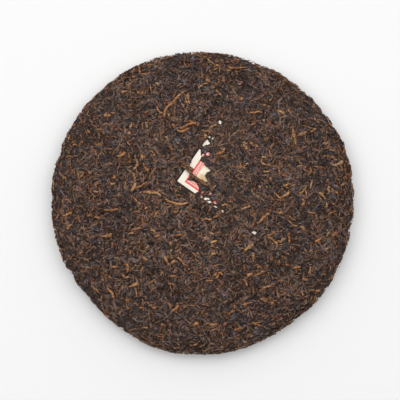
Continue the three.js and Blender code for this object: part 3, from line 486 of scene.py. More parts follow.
# What each kind of leaf is like, where it differs from the usual values above.
LEAF_KINDS = {
    "leaf_flakes": {
        "count": 2900, "longest": (4 * MM, 10 * MM), "widest": (1.4 * MM, 2.8 * MM),
        "flatness": 0.16, "roll": math.radians(16), "twist": math.radians(20), "hook": math.radians(20),
        "lift": (-1.05 * MM, -0.4 * MM), "gloss": 0.1, "roughness": 0.6, "gather": 0.1,
        "dark": (0.02, 0.013, 0.011), "middle": (0.113, 0.085, 0.077), "light": (0.257, 0.181, 0.149),
    },
    "dark_leaves": {
        "count": 5600, "bundle": 3, "longest": (3.5 * MM, 11 * MM), "widest": (0.5 * MM, 0.95 * MM),
        "stray": math.radians(35), "gloss": 0.08, "roughness": 0.55,
        "dark": (0.025, 0.016, 0.014), "middle": (0.125, 0.096, 0.091), "light": (0.259, 0.204, 0.181),
    },
    # Their greyer colour is partly a painted sheen of a dull shine.
    "grey_leaves": {
        "count": 5000, "bundle": 3, "longest": (3 * MM, 9 * MM), "widest": (0.45 * MM, 0.9 * MM),
        "stray": math.radians(40), "gloss": 0.1, "roughness": 0.5,
        "dark": (0.036, 0.027, 0.026), "middle": (0.157, 0.129, 0.127), "light": (0.31, 0.261, 0.246),
    },
    "wiry_leaves": {
        "count": 4000, "bundle": 2, "longest": (4.5 * MM, 13 * MM), "widest": (0.4 * MM, 0.75 * MM),
        "flatness": 0.7, "gloss": 0.1, "hook": math.radians(100), "bend": math.radians(65), "gather": 0.5,
        "dark": (0.03, 0.017, 0.013), "middle": (0.199, 0.129, 0.1), "light": (0.404, 0.261, 0.187),
    },
    "brown_leaves": {
        "count": 5100, "bundle": 2, "longest": (2.5 * MM, 9 * MM), "widest": (0.4 * MM, 0.8 * MM),
        "gloss": 0.06, "roughness": 0.65, "gather": 0.7,
        "dark": (0.06, 0.03, 0.02), "middle": (0.277, 0.154, 0.098), "light": (0.492, 0.294, 0.177),
    },
    "golden_buds": {
        "count": 2500, "longest": (1.6 * MM, 8 * MM), "widest": (0.4 * MM, 0.9 * MM),
        "flatness": 0.6, "hook": math.radians(60), "bend": math.radians(50), "gather": 0.9,
        "lift": (-0.6 * MM, 0.1 * MM), "gloss": 0.06, "roughness": 0.7,
        "dark": (0.2, 0.093, 0.046), "middle": (0.374, 0.199, 0.097), "light": (0.503, 0.306, 0.15),
    },
    "stalks": {
        "count": 300, "longest": (4 * MM, 12 * MM), "widest": (0.45 * MM, 0.8 * MM),
        "flatness": 0.8, "bend": math.radians(25), "hook": math.radians(20),
        "twist": math.radians(30), "lift": (-0.5 * MM, 0.1 * MM), "gloss": 0.08, "roughness": 0.6,
        "dark": (0.2, 0.1, 0.05), "middle": (0.365, 0.202, 0.101), "light": (0.557, 0.355, 0.192),
    },
    "crumbs": {
        "count": 9200, "longest": (0.8 * MM, 2.4 * MM), "widest": (0.35 * MM, 0.85 * MM),
        "flatness": 0.7, "bend": math.radians(20), "hook": math.radians(10), "stray": math.radians(90),
        "lift": (-0.75 * MM, 0.05 * MM), "gloss": 0.06, "roughness": 0.65,
        "dark": (0.035, 0.023, 0.02), "middle": (0.147, 0.092, 0.069), "light": (0.448, 0.248, 0.149),
    },
    "shown_leaves": {
        "flatness": 0.6, "lift": (0.6 * MM, 0.8 * MM), "gloss": 0.06, "roughness": 0.65, "streak": 0.65,
        "hues": 0.15,
        "dark": (0.03, 0.02, 0.018), "middle": (0.296, 0.146, 0.071), "light": (0.551, 0.362, 0.184),
    },
}


class TeaCakeSettings(PropertyGroup):
    """Everything that a user would change."""

    shape: PointerProperty(type=TeaCakeShape)
    ticket: PointerProperty(type=TicketSizes)
    stage: PointerProperty(type=StageSettings)
    dark_leaves: PointerProperty(type=LeafKind)
    grey_leaves: PointerProperty(type=LeafKind)
    wiry_leaves: PointerProperty(type=LeafKind)
    brown_leaves: PointerProperty(type=LeafKind)
    leaf_flakes: PointerProperty(type=LeafKind)
    golden_buds: PointerProperty(type=LeafKind)
    stalks: PointerProperty(type=LeafKind)
    crumbs: PointerProperty(type=LeafKind)
    shown_leaves: PointerProperty(type=LeafKind)


def smooth_step(value):
    """0 below 0 and 1 above 1, with a smooth rise between."""
    value = np.clip(value, 0, 1)
    return value * value * (3 - 2 * value)


def blend(span, share):
    """A share of the way from the first to the second of two values."""
    return span[0] + (span[1] - span[0]) * share


def bezier(*corners, steps=160):
    """A cubic curve through its first and last corner: the corners weighted by Bernstein's polynomials."""
    t = np.linspace(0, 1, steps)[:, None]
    a, b, c, d = (np.array(corner) for corner in corners)
    return a * (1 - t) ** 3 + 3 * b * t * (1 - t) ** 2 + 3 * c * t**2 * (1 - t) + d * t**3


def cross_section(shape):
    """The cake's outline in a plane through its axis, as (radius, height) from the middle of the
    face over the rim to the top of the dimple: five cubic curves and the flat ring between."""
    r, f, b = shape.radius, shape.face_radius, shape.back_radius
    lip, wall, low = shape.lip_radius, shape.wall_radius, shape.back_height
    face, shoulder, rim = shape.centre_height, shape.shoulder_height, shape.rim_height
    parts = (
        bezier((0, face), (f * 0.45, face), (f * 0.78, shoulder + shape.face_fullness), (f, shoulder)),
        bezier(
            (f, shoulder), (blend((f, r), 0.6), shoulder - shape.shoulder_drop),
            (r, blend((shoulder, rim), 0.5)), (r, rim),
        ),
        bezier((r, rim), (r, rim * 0.5), (blend((r, b), 0.35), low), (b, low)),
        bezier((b, low), (blend((b, lip), 0.33), low), (blend((b, lip), 0.67), low), (lip, low)),
        bezier(
            (lip, low), (blend((lip, wall), 0.5), low),
            (blend((lip, wall), 0.8), shape.wall_height * 0.6), (wall, shape.wall_height),
        ),
        bezier(
            (wall, shape.wall_height), (wall * 0.75, shape.dimple_height - MM),
            (wall * 0.4, shape.dimple_height), (0, shape.dimple_height),
        ),
    )
    return np.concatenate([part[:-1] for part in parts[:-1]] + [parts[-1]])


class Waves:
    """A smooth random field over the plane: some plane waves in random directions, added and
    divided by the square root of their count."""

    def __init__(self, random, widths, count=12):
        self.turn = random.random(count) * 2 * np.pi
        self.phase = random.random(count) * 2 * np.pi
        self.wave = blend(widths, random.random(count))

    def at(self, x, y):
        """The field at points: each wave is a sine of the distance along its direction."""
        total = 0.0
        for turn, phase, wave in zip(self.turn, self.phase, self.wave):
            across = x * math.cos(turn) + y * math.sin(turn)
            total = total + np.sin(2 * np.pi * across / wave + phase)
        return total / math.sqrt(len(self.turn))


class Surface:
    """The cake's skin: its cross-section turned about the axis, with the lobes of its outline and
    a broad swell. A place on it is a length along the cross-section and a turn about the axis."""

    def __init__(self, shape):
        points = cross_section(shape)
        step = np.hypot(*np.diff(points, axis=0).T)
        self.shape = shape
        self.length = np.concatenate(([0.0], np.cumsum(step)))
        self.radius, self.height = points.T
        slope = np.gradient(points, self.length, axis=0)
        self.outward, self.upward = (slope / np.linalg.norm(slope, axis=1, keepdims=True)).T
        self.rim = int(np.argmax(self.radius))
        rings = step * (self.radius[1:] + self.radius[:-1])
        self.share = np.concatenate(([0.0], np.cumsum(rings))) / rings.sum()
        random = np.random.default_rng(SEED)
        self.swell = Waves(random, shape.swell_width)
        self.flow = Waves(random, shape.flow_width)

    def growth(self, turn):
        """How much the outline stands out at a turn: a sum of cosines, less a bell at each worn place."""
        grown = sum(h * np.cos(n * turn + math.radians(p)) for n, h, p in OUTLINE_LOBES)
        for degrees, depth, half_width in WORN_PLACES:
            past = (turn - math.radians(degrees) + np.pi) % (2 * np.pi) - np.pi
            grown = grown - depth * np.exp(-((past / math.radians(half_width)) ** 2))
        return grown * MM

    def place(self, length, turn, lift):
        """Points at a length, a turn and a lift off the skin along its normal. The table presses
        flat what would reach below it."""
        length = np.clip(length, 0, self.length[-1])
        radius = np.interp(length, self.length, self.radius)
        height = np.interp(length, self.length, self.height)
        outward = np.interp(length, self.length, self.outward)
        upward = np.interp(length, self.length, self.upward)
        lift = lift + self.shape.swell * self.swell.at(radius * np.cos(turn), radius * np.sin(turn))
        radius = radius + self.growth(turn) * smooth_step(radius / self.shape.radius) - upward * lift
        up = np.maximum(height + outward * lift, REST)
        return np.stack((radius * np.cos(turn), radius * np.sin(turn), up), axis=-1)

    def length_at(self, radius, on_face):
        """The length at which a radius is met, on the face or on the back."""
        face = np.interp(radius, self.radius[: self.rim + 1], self.length[: self.rim + 1])
        back = np.interp(-radius, -self.radius[self.rim :], self.length[self.rim :])
        return np.where(on_face, face, back)


def on_ticket(ticket, x, y):
    """Distances along the ticket's long and short edge, from its corner, seen from above."""
    dx, dy = x - ticket.corner_x, y - ticket.corner_y
    c, s = math.cos(ticket.turn), math.sin(ticket.turn)
    return dx * c + dy * s, dy * c - dx * s


def inside(outline, x, y):
    """Whether points lie in an outline: each edge that a ray towards +X crosses flips the answer."""
    found = np.zeros(np.shape(x), bool)
    for (ax, ay), (bx, by) in zip(outline, outline[1:] + outline[:1]):
        spans = (ay > y) != (by > y)
        rise = by - ay if by != ay else 1e-9
        found ^= spans & (x < ax + (bx - ax) * (y - ay) / rise)
    return found


def over_openings(ticket, x, y, spread, pin_spread):
    """Whether points lie over a torn opening or a pin hole, each first spread by a distance. A pin
    hole is an ellipse: its two lengths, squared, in shares of its half sizes, add up to 1."""
    s, t = (value / MM for value in on_ticket(ticket, x, y))
    found = np.zeros(np.shape(x), bool)
    for outline in TORN_OPENINGS:
        middle = np.mean(outline, axis=0)
        corners = np.array(outline) - middle
        grown = corners * (1 + spread / MM / np.linalg.norm(corners, axis=1, keepdims=True)) + middle
        found |= inside([tuple(corner) for corner in grown], s, t)
    for along, across, half_length, half_width, degrees in PIN_HOLES:
        c, sine = math.cos(math.radians(degrees)), math.sin(math.radians(degrees))
        lengthways = ((s - along) * c + (t - across) * sine) / (half_length + pin_spread / MM)
        sideways = ((t - across) * c - (s - along) * sine) / (half_width + pin_spread / MM)
        found |= np.hypot(lengthways, sideways) < 1
    return found


def leaf_sites(surface, kind, random):
    """Places for leaves, spread evenly by the multiples of two irrational numbers, and thinned to
    half, more in some patches than in others. The face and the edge, which show, take most of
    them. Leaves lie along the flow of the place, and along the rim at the edge, and stray from it."""
    index = np.arange(2 * kind.count // kind.bundle)
    spread = (random.random() + index * EVEN_STEPS[0]) % 1
    turn = 2 * np.pi * ((random.random() + index * EVEN_STEPS[1]) % 1)
    edge = np.interp(surface.length_at(EDGE_ON_FACE, True), surface.length, surface.share)
    under = np.interp(surface.length_at(EDGE_ON_BACK, False), surface.length, surface.share)
    share = np.interp(spread, (0, FACE_SHARE, FACE_SHARE + EDGE_SHARE, 1), (0, edge, under, 1))
    length = np.interp(share, surface.share, surface.length)
    place = surface.place(length, turn, 0)
    patches = Waves(random, surface.shape.flow_width).at(place[:, 0], place[:, 1])
    keep = random.random(len(index)) < 0.5 + 0.5 * kind.gather * patches
    length, turn, place = length[keep], turn[keep], place[keep]
    wander = random.normal(0, WANDER, (2, len(length)))
    flat_lies = np.hypot(place[:, 0], place[:, 1]) < FLAT_REACH
    flow = np.where(flat_lies, 1.5 * np.pi * surface.flow.at(place[:, 0], place[:, 1]), np.pi / 2)
    return {
        "x": place[:, 0] + wander[0],
        "y": place[:, 1] + wander[1],
        "length": length + wander[0],
        "turn": turn + wander[1] / surface.shape.radius,
        "on_face": length < surface.length[surface.rim],
        "angle": flow + kind.stray * random.normal(0, 1, len(length)),
    }


def leaf_forms(kind, count, random):
    """Random sizes and bends for leaves of a kind, more of them short than long."""
    return {
        "length": blend(kind.longest, random.beta(1.4, 2.6, count)),
        "width": blend(kind.widest, random.random(count)),
        "taper": blend((1.7, 4.5), random.random(count)),
        "skew": 0.45 * (2 * random.random(count) - 1),
        "bend": kind.bend * random.normal(0, 0.6, count),
        "sway": kind.sway * random.normal(0, 1, count),
        "phase": np.pi * random.random(count),
        "hook": kind.hook * random.normal(0, 1, count) * (random.random(count) < 0.5),
        "roll": kind.roll * (2 * random.random(count) - 1),
        "twist": kind.twist * random.normal(0, 0.7, count),
        "lift": blend(kind.lift, random.random(count)),
        "tilt": random.normal(0, 0.2 * MM, count),
        "tone": blend((0.15, 0.8), random.random(count)),
        "warmth": random.random(count),
    }


def add_bundles(surface, kind, sites, forms, random):
    """Turns each leaf into a bundle: copies side by side, nearly a width apart, each a little
    shifted along, shorter or longer, bent, lifted and toned otherwise than the first."""
    size = kind.bundle
    count = size * len(sites["x"])
    step = np.tile(np.arange(size) - (size - 1) / 2, count // size)
    sites = {name: np.repeat(values, size) for name, values in sites.items()}
    forms = {name: np.repeat(values, size) for name, values in forms.items()}
    across = step * 0.9 * forms["width"]
    along = random.normal(0, 0.12, count) * forms["length"]
    first = along * np.cos(sites["angle"]) - across * np.sin(sites["angle"])
    second = along * np.sin(sites["angle"]) + across * np.cos(sites["angle"])
    sites["x"] += first
    sites["y"] += second
    sites["length"] += first
    sites["turn"] += second / surface.shape.radius
    forms["length"] *= blend((0.7, 1.15), random.random(count))
    forms["width"] *= blend((0.8, 1.2), random.random(count))
    for name, spread in (("bend", 0.1), ("sway", 0.1), ("roll", 0.6), ("tone", 0.14), ("lift", 0.13 * MM)):
        forms[name] += random.normal(0, spread, count)
    return sites, forms


def photo_place(column, row, pixel=PIXEL):
    """The place in the cake's frame of a pixel of the photograph."""
    return (column - PHOTO_MIDDLE[0]) * pixel, (PHOTO_MIDDLE[1] - row) * pixel


def smooth_curve(corners, steps=60):
    """Points on the Catmull-Rom curve through corners: at each it heads along the line that
    joins its two neighbours. The ends are carried on straight."""
    corners = np.array(corners, float)
    all_corners = np.vstack((2 * corners[0] - corners[1], corners, 2 * corners[-1] - corners[-2]))
    t = np.linspace(0, len(corners) - 1, steps)
    first = np.minimum(t.astype(int), len(corners) - 2)
    u = (t - first)[:, None]
    a, b, c, d = (all_corners[first + step] for step in range(4))
    bend = (2 * a - 5 * b + 4 * c - d) * u**2 + (3 * b - a - 3 * c + d) * u**3
    return b + ((c - a) * u + bend) / 2


def shown_lines(stations):
    """The middle lines of the leaves that stand out in the photograph, cut in steps of equal
    length: the middle of each, the distances along X and Y from it, and the headings."""
    middles, along, across, headings, lengths = [], [], [], [], []
    for leaf in SHOWN_LEAVES:
        x, y = photo_place(*smooth_curve(leaf[3:]).T, PIXEL_ON_FACE)
        run = np.concatenate(([0], np.cumsum(np.hypot(np.diff(x), np.diff(y)))))
        at = np.linspace(0, run[-1], stations + 2)
        x, y = np.interp(at, run, x), np.interp(at, run, y)
        middles.append((x.mean(), y.mean()))
        along.append(x - x.mean())
        across.append(y - y.mean())
        headings.append(np.unwrap(np.arctan2(np.gradient(y), np.gradient(x))))
        lengths.append(run[-1])
    return np.array(middles).T, np.array(lengths), (np.array(along), np.array(across), np.array(headings))


def leaf_lines(forms, stations):
    """Each leaf's middle line, as distances along and across it, and its heading at each station.
    The heading is a bend that grows along the leaf, a sine that wavers and a hook at one end,
    and the line is the running sum of its cosines and sines."""
    t = np.linspace(-1, 1, stations + 2)

    def heading(t):
        """The heading at shares t of the way from the middle to the ends."""
        hook = smooth_step((t - 0.2) / 0.8) * (t > 0)
        return (
            forms["bend"][:, None] * t
            + forms["sway"][:, None] * np.sin(2 * np.pi * t + forms["phase"][:, None])
            + forms["hook"][:, None] * hook
        )

    step = (forms["length"] / (stations + 1))[:, None]
    between = heading((t[1:] + t[:-1]) / 2)
    start = np.zeros((len(step), 1))
    along = np.concatenate((start, np.cumsum(step * np.cos(between), axis=1)), axis=1)
    across = np.concatenate((start, np.cumsum(step * np.sin(between), axis=1)), axis=1)
    along -= along.mean(axis=1, keepdims=True)
    across -= across.mean(axis=1, keepdims=True)
    return along, across, heading(t)


def leaf_points(surface, kind, sites, forms, lines, sides, random):
    """Each leaf's points, leaf by leaf: its first tip, a ring of points at each station, and its
    last tip. A ring is a flattened polygon with a corner up, turned by the roll and the twist.
    Its width falls towards the tips as a power of 1 less a power of the distance from the middle,
    and varies at random. Points above the pressed level are pushed most of the way down to it."""
    along, across, heading = lines
    count, stations = along.shape[0], along.shape[1] - 2
    t = np.linspace(-1, 1, stations + 2)
    taper = (1 - np.abs(t[1:-1]) ** forms["taper"][:, None]) ** 0.65 * (1 + forms["skew"][:, None] * t[1:-1])
    lumps = 1 + 0.26 * random.normal(0, 1, (count, stations))
    width = forms["width"][:, None] * taper * np.clip(lumps, 0.5, 1.5)
    roll = forms["roll"][:, None] + forms["twist"][:, None] * t[1:-1]
    way = np.pi / 2 + 2 * np.pi * np.arange(sides) / sides
    flat = width[:, :, None] / 2 * np.cos(way) / np.abs(np.cos(way)).max()
    thick = width[:, :, None] / 2 * kind.flatness * np.sin(way)
    c, s = np.cos(roll)[:, :, None], np.sin(roll)[:, :, None]
    aside = flat * c - thick * s
    above = flat * s + thick * c
    wave = forms["tilt"][:, None] * t + 0.12 * MM * np.sin(2.2 * np.pi * t + forms["phase"][:, None])

    def whole(tips, ring):
        """Joins the two tips' values with the rings' values, as leaf by point."""
        return np.concatenate((tips[:, :1], ring.reshape(count, -1), tips[:, -1:]), axis=1)

    ring_heading = heading[:, 1:-1, None]
    first = whole(along, along[:, 1:-1, None] - aside * np.sin(ring_heading))
    second = whole(across, across[:, 1:-1, None] + aside * np.cos(ring_heading))
    lift = forms["lift"][:, None] + whole(wave, wave[:, 1:-1, None] + above)

    past_rim = np.abs(sites["length"] - surface.length[surface.rim])
    level = blend(PRESSED_LEVEL, smooth_step(past_rim / PRESSED_FROM_RIM))[:, None]
    lift = np.where(lift > level, level + PRESSED_REST * (lift - level), lift)

    c, s = np.cos(sites["angle"])[:, None], np.sin(sites["angle"])[:, None]
    u, v = first * c - second * s, first * s + second * c
    x, y = sites["x"][:, None] + u, sites["y"][:, None] + v
    on_face = sites["on_face"][:, None]
    flat_lies = np.hypot(sites["x"], sites["y"])[:, None] < FLAT_REACH
    length = np.where(flat_lies, surface.length_at(np.hypot(x, y), on_face), sites["length"][:, None] + u)
    turn = np.where(flat_lies, np.arctan2(y, x), sites["turn"][:, None] + v / surface.shape.radius)
    points = surface.place(length, turn, lift)
    return points, first, second


def leaf_faces(count, stations, sides):
    """Corners of every leaf's faces: quads between rings, then a fan of triangles at each tip.
    Also each corner's place on the leaf's own patch, round it and along it, from 0 to 1."""
    ring = np.arange(stations - 1)[:, None]
    side = np.arange(sides)[None, :]
    after = (side + 1) % sides
    low, high = 1 + ring * sides, 1 + (ring + 1) * sides
    quads = np.stack((low + side, high + side, high + after, low + after), axis=-1).reshape(-1, 4)
    around = np.stack((side + 0 * ring, side + 0 * ring, side + 1 + 0 * ring, side + 1 + 0 * ring), -1)
    row = np.stack((ring + 1 + 0 * side, ring + 2 + 0 * side, ring + 2 + 0 * side, ring + 1 + 0 * side), -1)
    quad_patch = np.stack((around / sides, row / (stations + 1)), -1).reshape(-1, 4, 2)

    side, after = side[0], after[0]
    last = 1 + stations * sides
    top = 1 + (stations - 1) * sides
    first_fan = np.stack((0 * side, 1 + side, 1 + after), axis=-1)
    last_fan = np.stack((0 * side + last, top + after, top + side), axis=-1)
    fans = np.concatenate((first_fan, last_fan))
    half = side + 0.5
    first_patch = np.stack((np.stack((half, side, side + 1), -1) / sides, [[0, 1, 1]] * sides), -1)
    last_patch = np.stack((np.stack((half, side + 1, side), -1) / sides, [[1, 0, 0]] * sides), -1)
    first_patch[..., 1] /= stations + 1
    last_patch[..., 1] = (last_patch[..., 1] + stations) / (stations + 1)
    fan_patch = np.concatenate((first_patch, last_patch))

    start = (np.arange(count) * (last + 1))[:, None, None]
    all_quads = (start + quads).reshape(-1, 4)
    all_fans = (start + fans).reshape(-1, 3)
    return all_quads, all_fans, quad_patch, fan_patch


def build_mesh(name, points, quads, triangles):
    """A mesh from arrays of points, quads and triangles, shaded smooth."""
    mesh = bpy.data.meshes.new(name)
    mesh.vertices.add(len(points))
    mesh.vertices.foreach_set("co", points.astype(np.float32).ravel())
    corners = np.concatenate((quads.ravel(), triangles.ravel())).astype(np.int32)
    sizes = np.concatenate((np.full(len(quads), 4), np.full(len(triangles), 3)))
    mesh.loops.add(len(corners))
    mesh.loops.foreach_set("vertex_index", corners)
    mesh.polygons.add(len(sizes))
    starts = np.concatenate(([0], np.cumsum(sizes)[:-1])).astype(np.int32)
    mesh.polygons.foreach_set("loop_start", starts)
    mesh.update(calc_edges=True)
    mesh.shade_smooth()
    return mesh


def add_attribute(mesh, name, kind, values):
    """Stores one value per point: kind is FLOAT or FLOAT_VECTOR."""
    field = "value" if kind == "FLOAT" else "vector"
    made = mesh.attributes.new(name, kind, "POINT")
    made.data.foreach_set(field, np.ascontiguousarray(values, np.float32).ravel())


def add_piece(name, mesh, material, node):
    """Links a finished mesh as a piece that rides with the cake and stands for a node."""
    mesh.materials.append(material)
    piece = bpy.data.objects.new(name, mesh)
    bpy.context.scene.collection.objects.link(piece)
    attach(piece, "root")
    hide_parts(node)


class Nodes:
    """A material's nodes, with short calls that add and join them."""

    def __init__(self, name, roughness):
        self.material = bpy.data.materials.new(name)
        self.material.use_nodes = True
        self.tree = self.material.node_tree
        self.surface = self.tree.nodes["Principled BSDF"]
        self.surface.inputs["Roughness"].default_value = roughness

    def put(self, socket, value):
        """Gives a socket another node's output, or a plain value."""
        if isinstance(value, bpy.types.NodeSocket):
            self.tree.links.new(value, socket)
        else:
            socket.default_value = value

    def add(self, kind, inputs=(), **settings):
        """A new node with its settings and its inputs."""
        node = self.tree.nodes.new("ShaderNode" + kind)
        for name, value in settings.items():
            setattr(node, name, value)
        for name, value in dict(inputs).items():
            self.put(node.inputs[name], value)
        return node

    def math(self, operation, first, second=0.0):
        """The result of a sum or function of one or two numbers."""
        return self.add("Math", {0: first, 1: second}, operation=operation).outputs[0]

    def attribute(self, name, output="Fac"):
        """What the mesh stores under a name."""
        return self.add("Attribute", attribute_name=name).outputs[output]

    def place(self):
        """The place of the shaded point, in the cake's frame."""
        return self.add("TexCoord").outputs["Object"]

    def noise(self, vector, scale, detail=3.0, roughness=0.55):
        """Smooth noise from 0 to 1, at a scale and with so many finer layers."""
        inputs = {"Vector": vector, "Scale": scale, "Detail": detail, "Roughness": roughness}
        return self.add("TexNoise", inputs).outputs["Fac"]

    def ramp(self, value, stops):
        """A colour ramp from (place, colour) stops."""
        node = self.add("ValToRGB", {"Fac": value})
        marks = node.color_ramp.elements
        while len(marks) < len(stops):
            marks.new(1.0)
        for mark, (place, shade) in zip(marks, stops):
            mark.position = place
            mark.color = (*shade, 1.0)
        return node.outputs["Color"]

    def mix(self, share, first, second, mode="MIX"):
        """A share of the way from the first colour to the second, or with MULTIPLY their product."""
        node = self.add("Mix", data_type="RGBA", blend_type=mode)
        for name, value in (("Factor_Float", share), ("A_Color", first), ("B_Color", second)):
            socket = next(s for s in node.inputs if s.identifier == name)
            if not isinstance(value, (float, int, bpy.types.NodeSocket)):
                value = (*value, 1.0)
            self.put(socket, value)
        return next(s for s in node.outputs if s.identifier == "Result_Color")

    def span(self, value, low, high, to_low, to_high):
        """A value carried from one range to another, and held at its ends."""
        inputs = {"Value": value, "From Min": low, "From Max": high, "To Min": to_low, "To Max": to_high}
        return self.add("MapRange", inputs).outputs[0]

    def bump(self, height, distance):
        """Makes the surface look raised by a height from 0 to 1, times a distance."""
        inputs = {"Height": height, "Distance": distance}
        self.put(self.surface.inputs["Normal"], self.add("Bump", inputs).outputs[0])


def leaf_material(name, kind):
    """Leaf: each one's own tone on a ramp of three colours, moved by broad patches over the cake, by strands
    along the leaf and by the distance from the axis, which makes it paler in the middle and darker at the
    rim as painted shade. Each leaf is tinted cooler or warmer, and redder or greener by its warmth's further
    digits. The strands are bump as well."""
    nodes = Nodes(name, kind.roughness)
    place = nodes.place()
    grain = nodes.attribute("grain", "Vector")
    patches = nodes.noise(place, PATCH_SCALE, 2)
    strands = nodes.noise(grain, STRAND_SCALE, 3)
    tone = nodes.math("ADD", nodes.attribute("tone"), nodes.span(patches, 0.3, 0.7, -0.16, 0.16))
    tone = nodes.math("ADD", tone, nodes.span(strands, 0.25, 0.75, -kind.streak, kind.streak))
    from_axis = nodes.add("VectorMath", {0: place}, operation="LENGTH").outputs["Value"]
    tone = nodes.math("ADD", tone, nodes.span(from_axis, *PALE_SPAN, 0.0, PALE_MIDDLE))
    # Painted shade: the tone is lowered towards the rim.
    tone = nodes.math("ADD", tone, nodes.span(from_axis, *RIM_SPAN, 0.0, PAINTED_RIM_SHADE))
    stops = ((0.0, kind.dark), (0.55, kind.middle), (1.0, kind.light))
    warmth = nodes.attribute("warmth")
    digits = nodes.math("FRACT", nodes.math("MULTIPLY", warmth, HUE_DIGITS))
    redness = nodes.span(digits, 0, 1, 0.5 - 0.5 * kind.hues, 0.5 + 0.5 * kind.hues)
    warmth = nodes.math("ADD", warmth, nodes.span(from_axis, *RIM_SPAN, 0.0, WARM_RIM))
    tint = nodes.mix(
        1.0, nodes.mix(warmth, COOL_TINT, WARM_TINT), nodes.mix(redness, OLIVE_TINT, RUST_TINT), "MULTIPLY"
    )
    nodes.put(nodes.surface.inputs["Base Color"], nodes.mix(1.0, nodes.ramp(tone, stops), tint, "MULTIPLY"))
    dullness = nodes.span(strands, 0.2, 0.8, kind.roughness - 0.12, kind.roughness + 0.15)
    nodes.put(nodes.surface.inputs["Roughness"], dullness)
    nodes.surface.inputs["Specular IOR Level"].default_value = kind.gloss
    nodes.bump(strands, 0.2 * MM)
    return nodes.material


def core_material(shape):
    """Leaf pressed so deep that only its fibres show: cells of 2.5 mm, each with fine noise drawn out in a
    direction of its own, over fine grains, as colour and as bump. Its darkest colour is partly painted shade
    in the gaps between the leaves."""
    nodes = Nodes("pressed_leaf_core", 0.7)
    place = nodes.place()
    cells = nodes.add("TexVoronoi", {"Vector": place, "Scale": 400}).outputs["Color"]
    turn = nodes.math("MULTIPLY", nodes.add("SeparateColor", {0: cells}).outputs[0], 2 * math.pi)
    turned = nodes.add("VectorRotate", {"Vector": place, "Angle": turn}, rotation_type="Z_AXIS").outputs[0]
    drawn = nodes.add("Mapping", {"Vector": turned, "Scale": (0.25, 1, 1)}).outputs[0]
    fibres = nodes.noise(drawn, 1900, 3, 0.6)
    grains = nodes.noise(place, 1800, 3, 0.7)
    tone = nodes.math("ADD", nodes.math("MULTIPLY", fibres, 0.7), nodes.math("MULTIPLY", grains, 0.3))
    stops = ((0.38, shape.core_colour_and_shade), (0.64, shape.core_light))
    nodes.put(nodes.surface.inputs["Base Color"], nodes.ramp(tone, stops))
    nodes.put(nodes.surface.inputs["Roughness"], nodes.span(grains, 0.3, 0.7, 0.6, 0.85))
    nodes.surface.inputs["Specular IOR Level"].default_value = 0.2
    nodes.bump(tone, 0.5 * MM)
    return nodes.material


def paper_material(ticket):
    """Printed paper. d is the distance inwards from the printed frame's outer edge, in mm: the
    lesser of the distances from the edges less their margins. Rising d meets the bare margin,
    the frame line, a thin pale line, the band and the body. The band has blotched rows of plain
    strokes, and tea has stained the body round one place."""
    nodes = Nodes("printed_paper", 0.8)
    sheet = nodes.add("UVMap", uv_map="sheet").outputs[0]
    parts = nodes.add("SeparateXYZ", {0: sheet}).outputs
    s, t = parts[0], parts[1]
    from_side = nodes.math("MINIMUM", s, nodes.math("SUBTRACT", ticket.long_edge / MM, s))
    from_end = nodes.math("MINIMUM", t, nodes.math("SUBTRACT", ticket.short_edge / MM, t))
    d = nodes.math(
        "MINIMUM",
        nodes.math("SUBTRACT", from_side, ticket.frame_side / MM),
        nodes.math("SUBTRACT", from_end, ticket.frame_end / MM),
    )
    d = nodes.math("ADD", d, nodes.span(nodes.noise(sheet, 3.0, 2), 0.3, 0.7, -0.12, 0.12))
    strokes = nodes.math("SINE", nodes.math("MULTIPLY", nodes.math("ADD", s, t), 2.4))
    rows = nodes.math("SINE", nodes.math("MULTIPLY", nodes.math("SUBTRACT", s, t), 1.7))
    blotch = nodes.math("ADD", nodes.math("MULTIPLY", strokes, rows), nodes.noise(sheet, 0.5, 3))
    band = nodes.mix(nodes.span(blotch, 0.45, 0.15, 0.0, 0.75), ticket.band, ticket.pale)
    band = nodes.mix(nodes.span(blotch, 0.5, 0.85, 0.0, 1.0), band, ticket.strokes)
    aside = nodes.math("SUBTRACT", s, ticket.stain_along / MM)
    above = nodes.math("SUBTRACT", t, ticket.stain_across / MM)
    squares = nodes.math("ADD", nodes.math("MULTIPLY", aside, aside), nodes.math("MULTIPLY", above, above))
    ragged = nodes.span(nodes.noise(sheet, 0.7, 3), 0.2, 0.8, -2, 2)
    reach = nodes.math("ADD", nodes.math("SQRT", squares), ragged)
    stain = nodes.span(reach, ticket.stain_radius / MM, 0.4 * ticket.stain_radius / MM, 0.0, 0.85)
    body = nodes.mix(stain, ticket.body, ticket.stain)
    colours = ticket.paper
    for edge, shade in ((0.0, ticket.frame), (1.25, ticket.pale), (1.8, band), (4.4, body)):
        colours = nodes.mix(nodes.math("GREATER_THAN", d, edge), colours, shade)
    soil = nodes.span(nodes.noise(sheet, 0.45, 5), 0.45, 0.75, 0.0, 0.22)
    colours = nodes.mix(soil, colours, ticket.stain)
    nodes.put(nodes.surface.inputs["Base Color"], colours)
    nodes.put(nodes.surface.inputs["Roughness"], nodes.span(stain, 0.0, 1.0, 0.75, 0.9))
    nodes.surface.inputs["Specular IOR Level"].default_value = 0.2
    nodes.bump(nodes.noise(sheet, 2.5, 5), 0.05 * MM)
    return nodes.material


def floor_material(stage):
    """Smooth pale card, with a very faint tooth."""
    nodes = Nodes("pale_card", 0.9)
    tooth = nodes.noise(nodes.place(), 300, 2)
    low = [value * 0.985 for value in stage.floor]
    nodes.put(nodes.surface.inputs["Base Color"], nodes.mix(tooth, low, stage.floor))
    nodes.surface.inputs["Specular IOR Level"].default_value = 0.1
    nodes.surface.inputs["Emission Color"].default_value = (1, 1, 1, 1)
    nodes.surface.inputs["Emission Strength"].default_value = stage.floor_glow
    return nodes.material


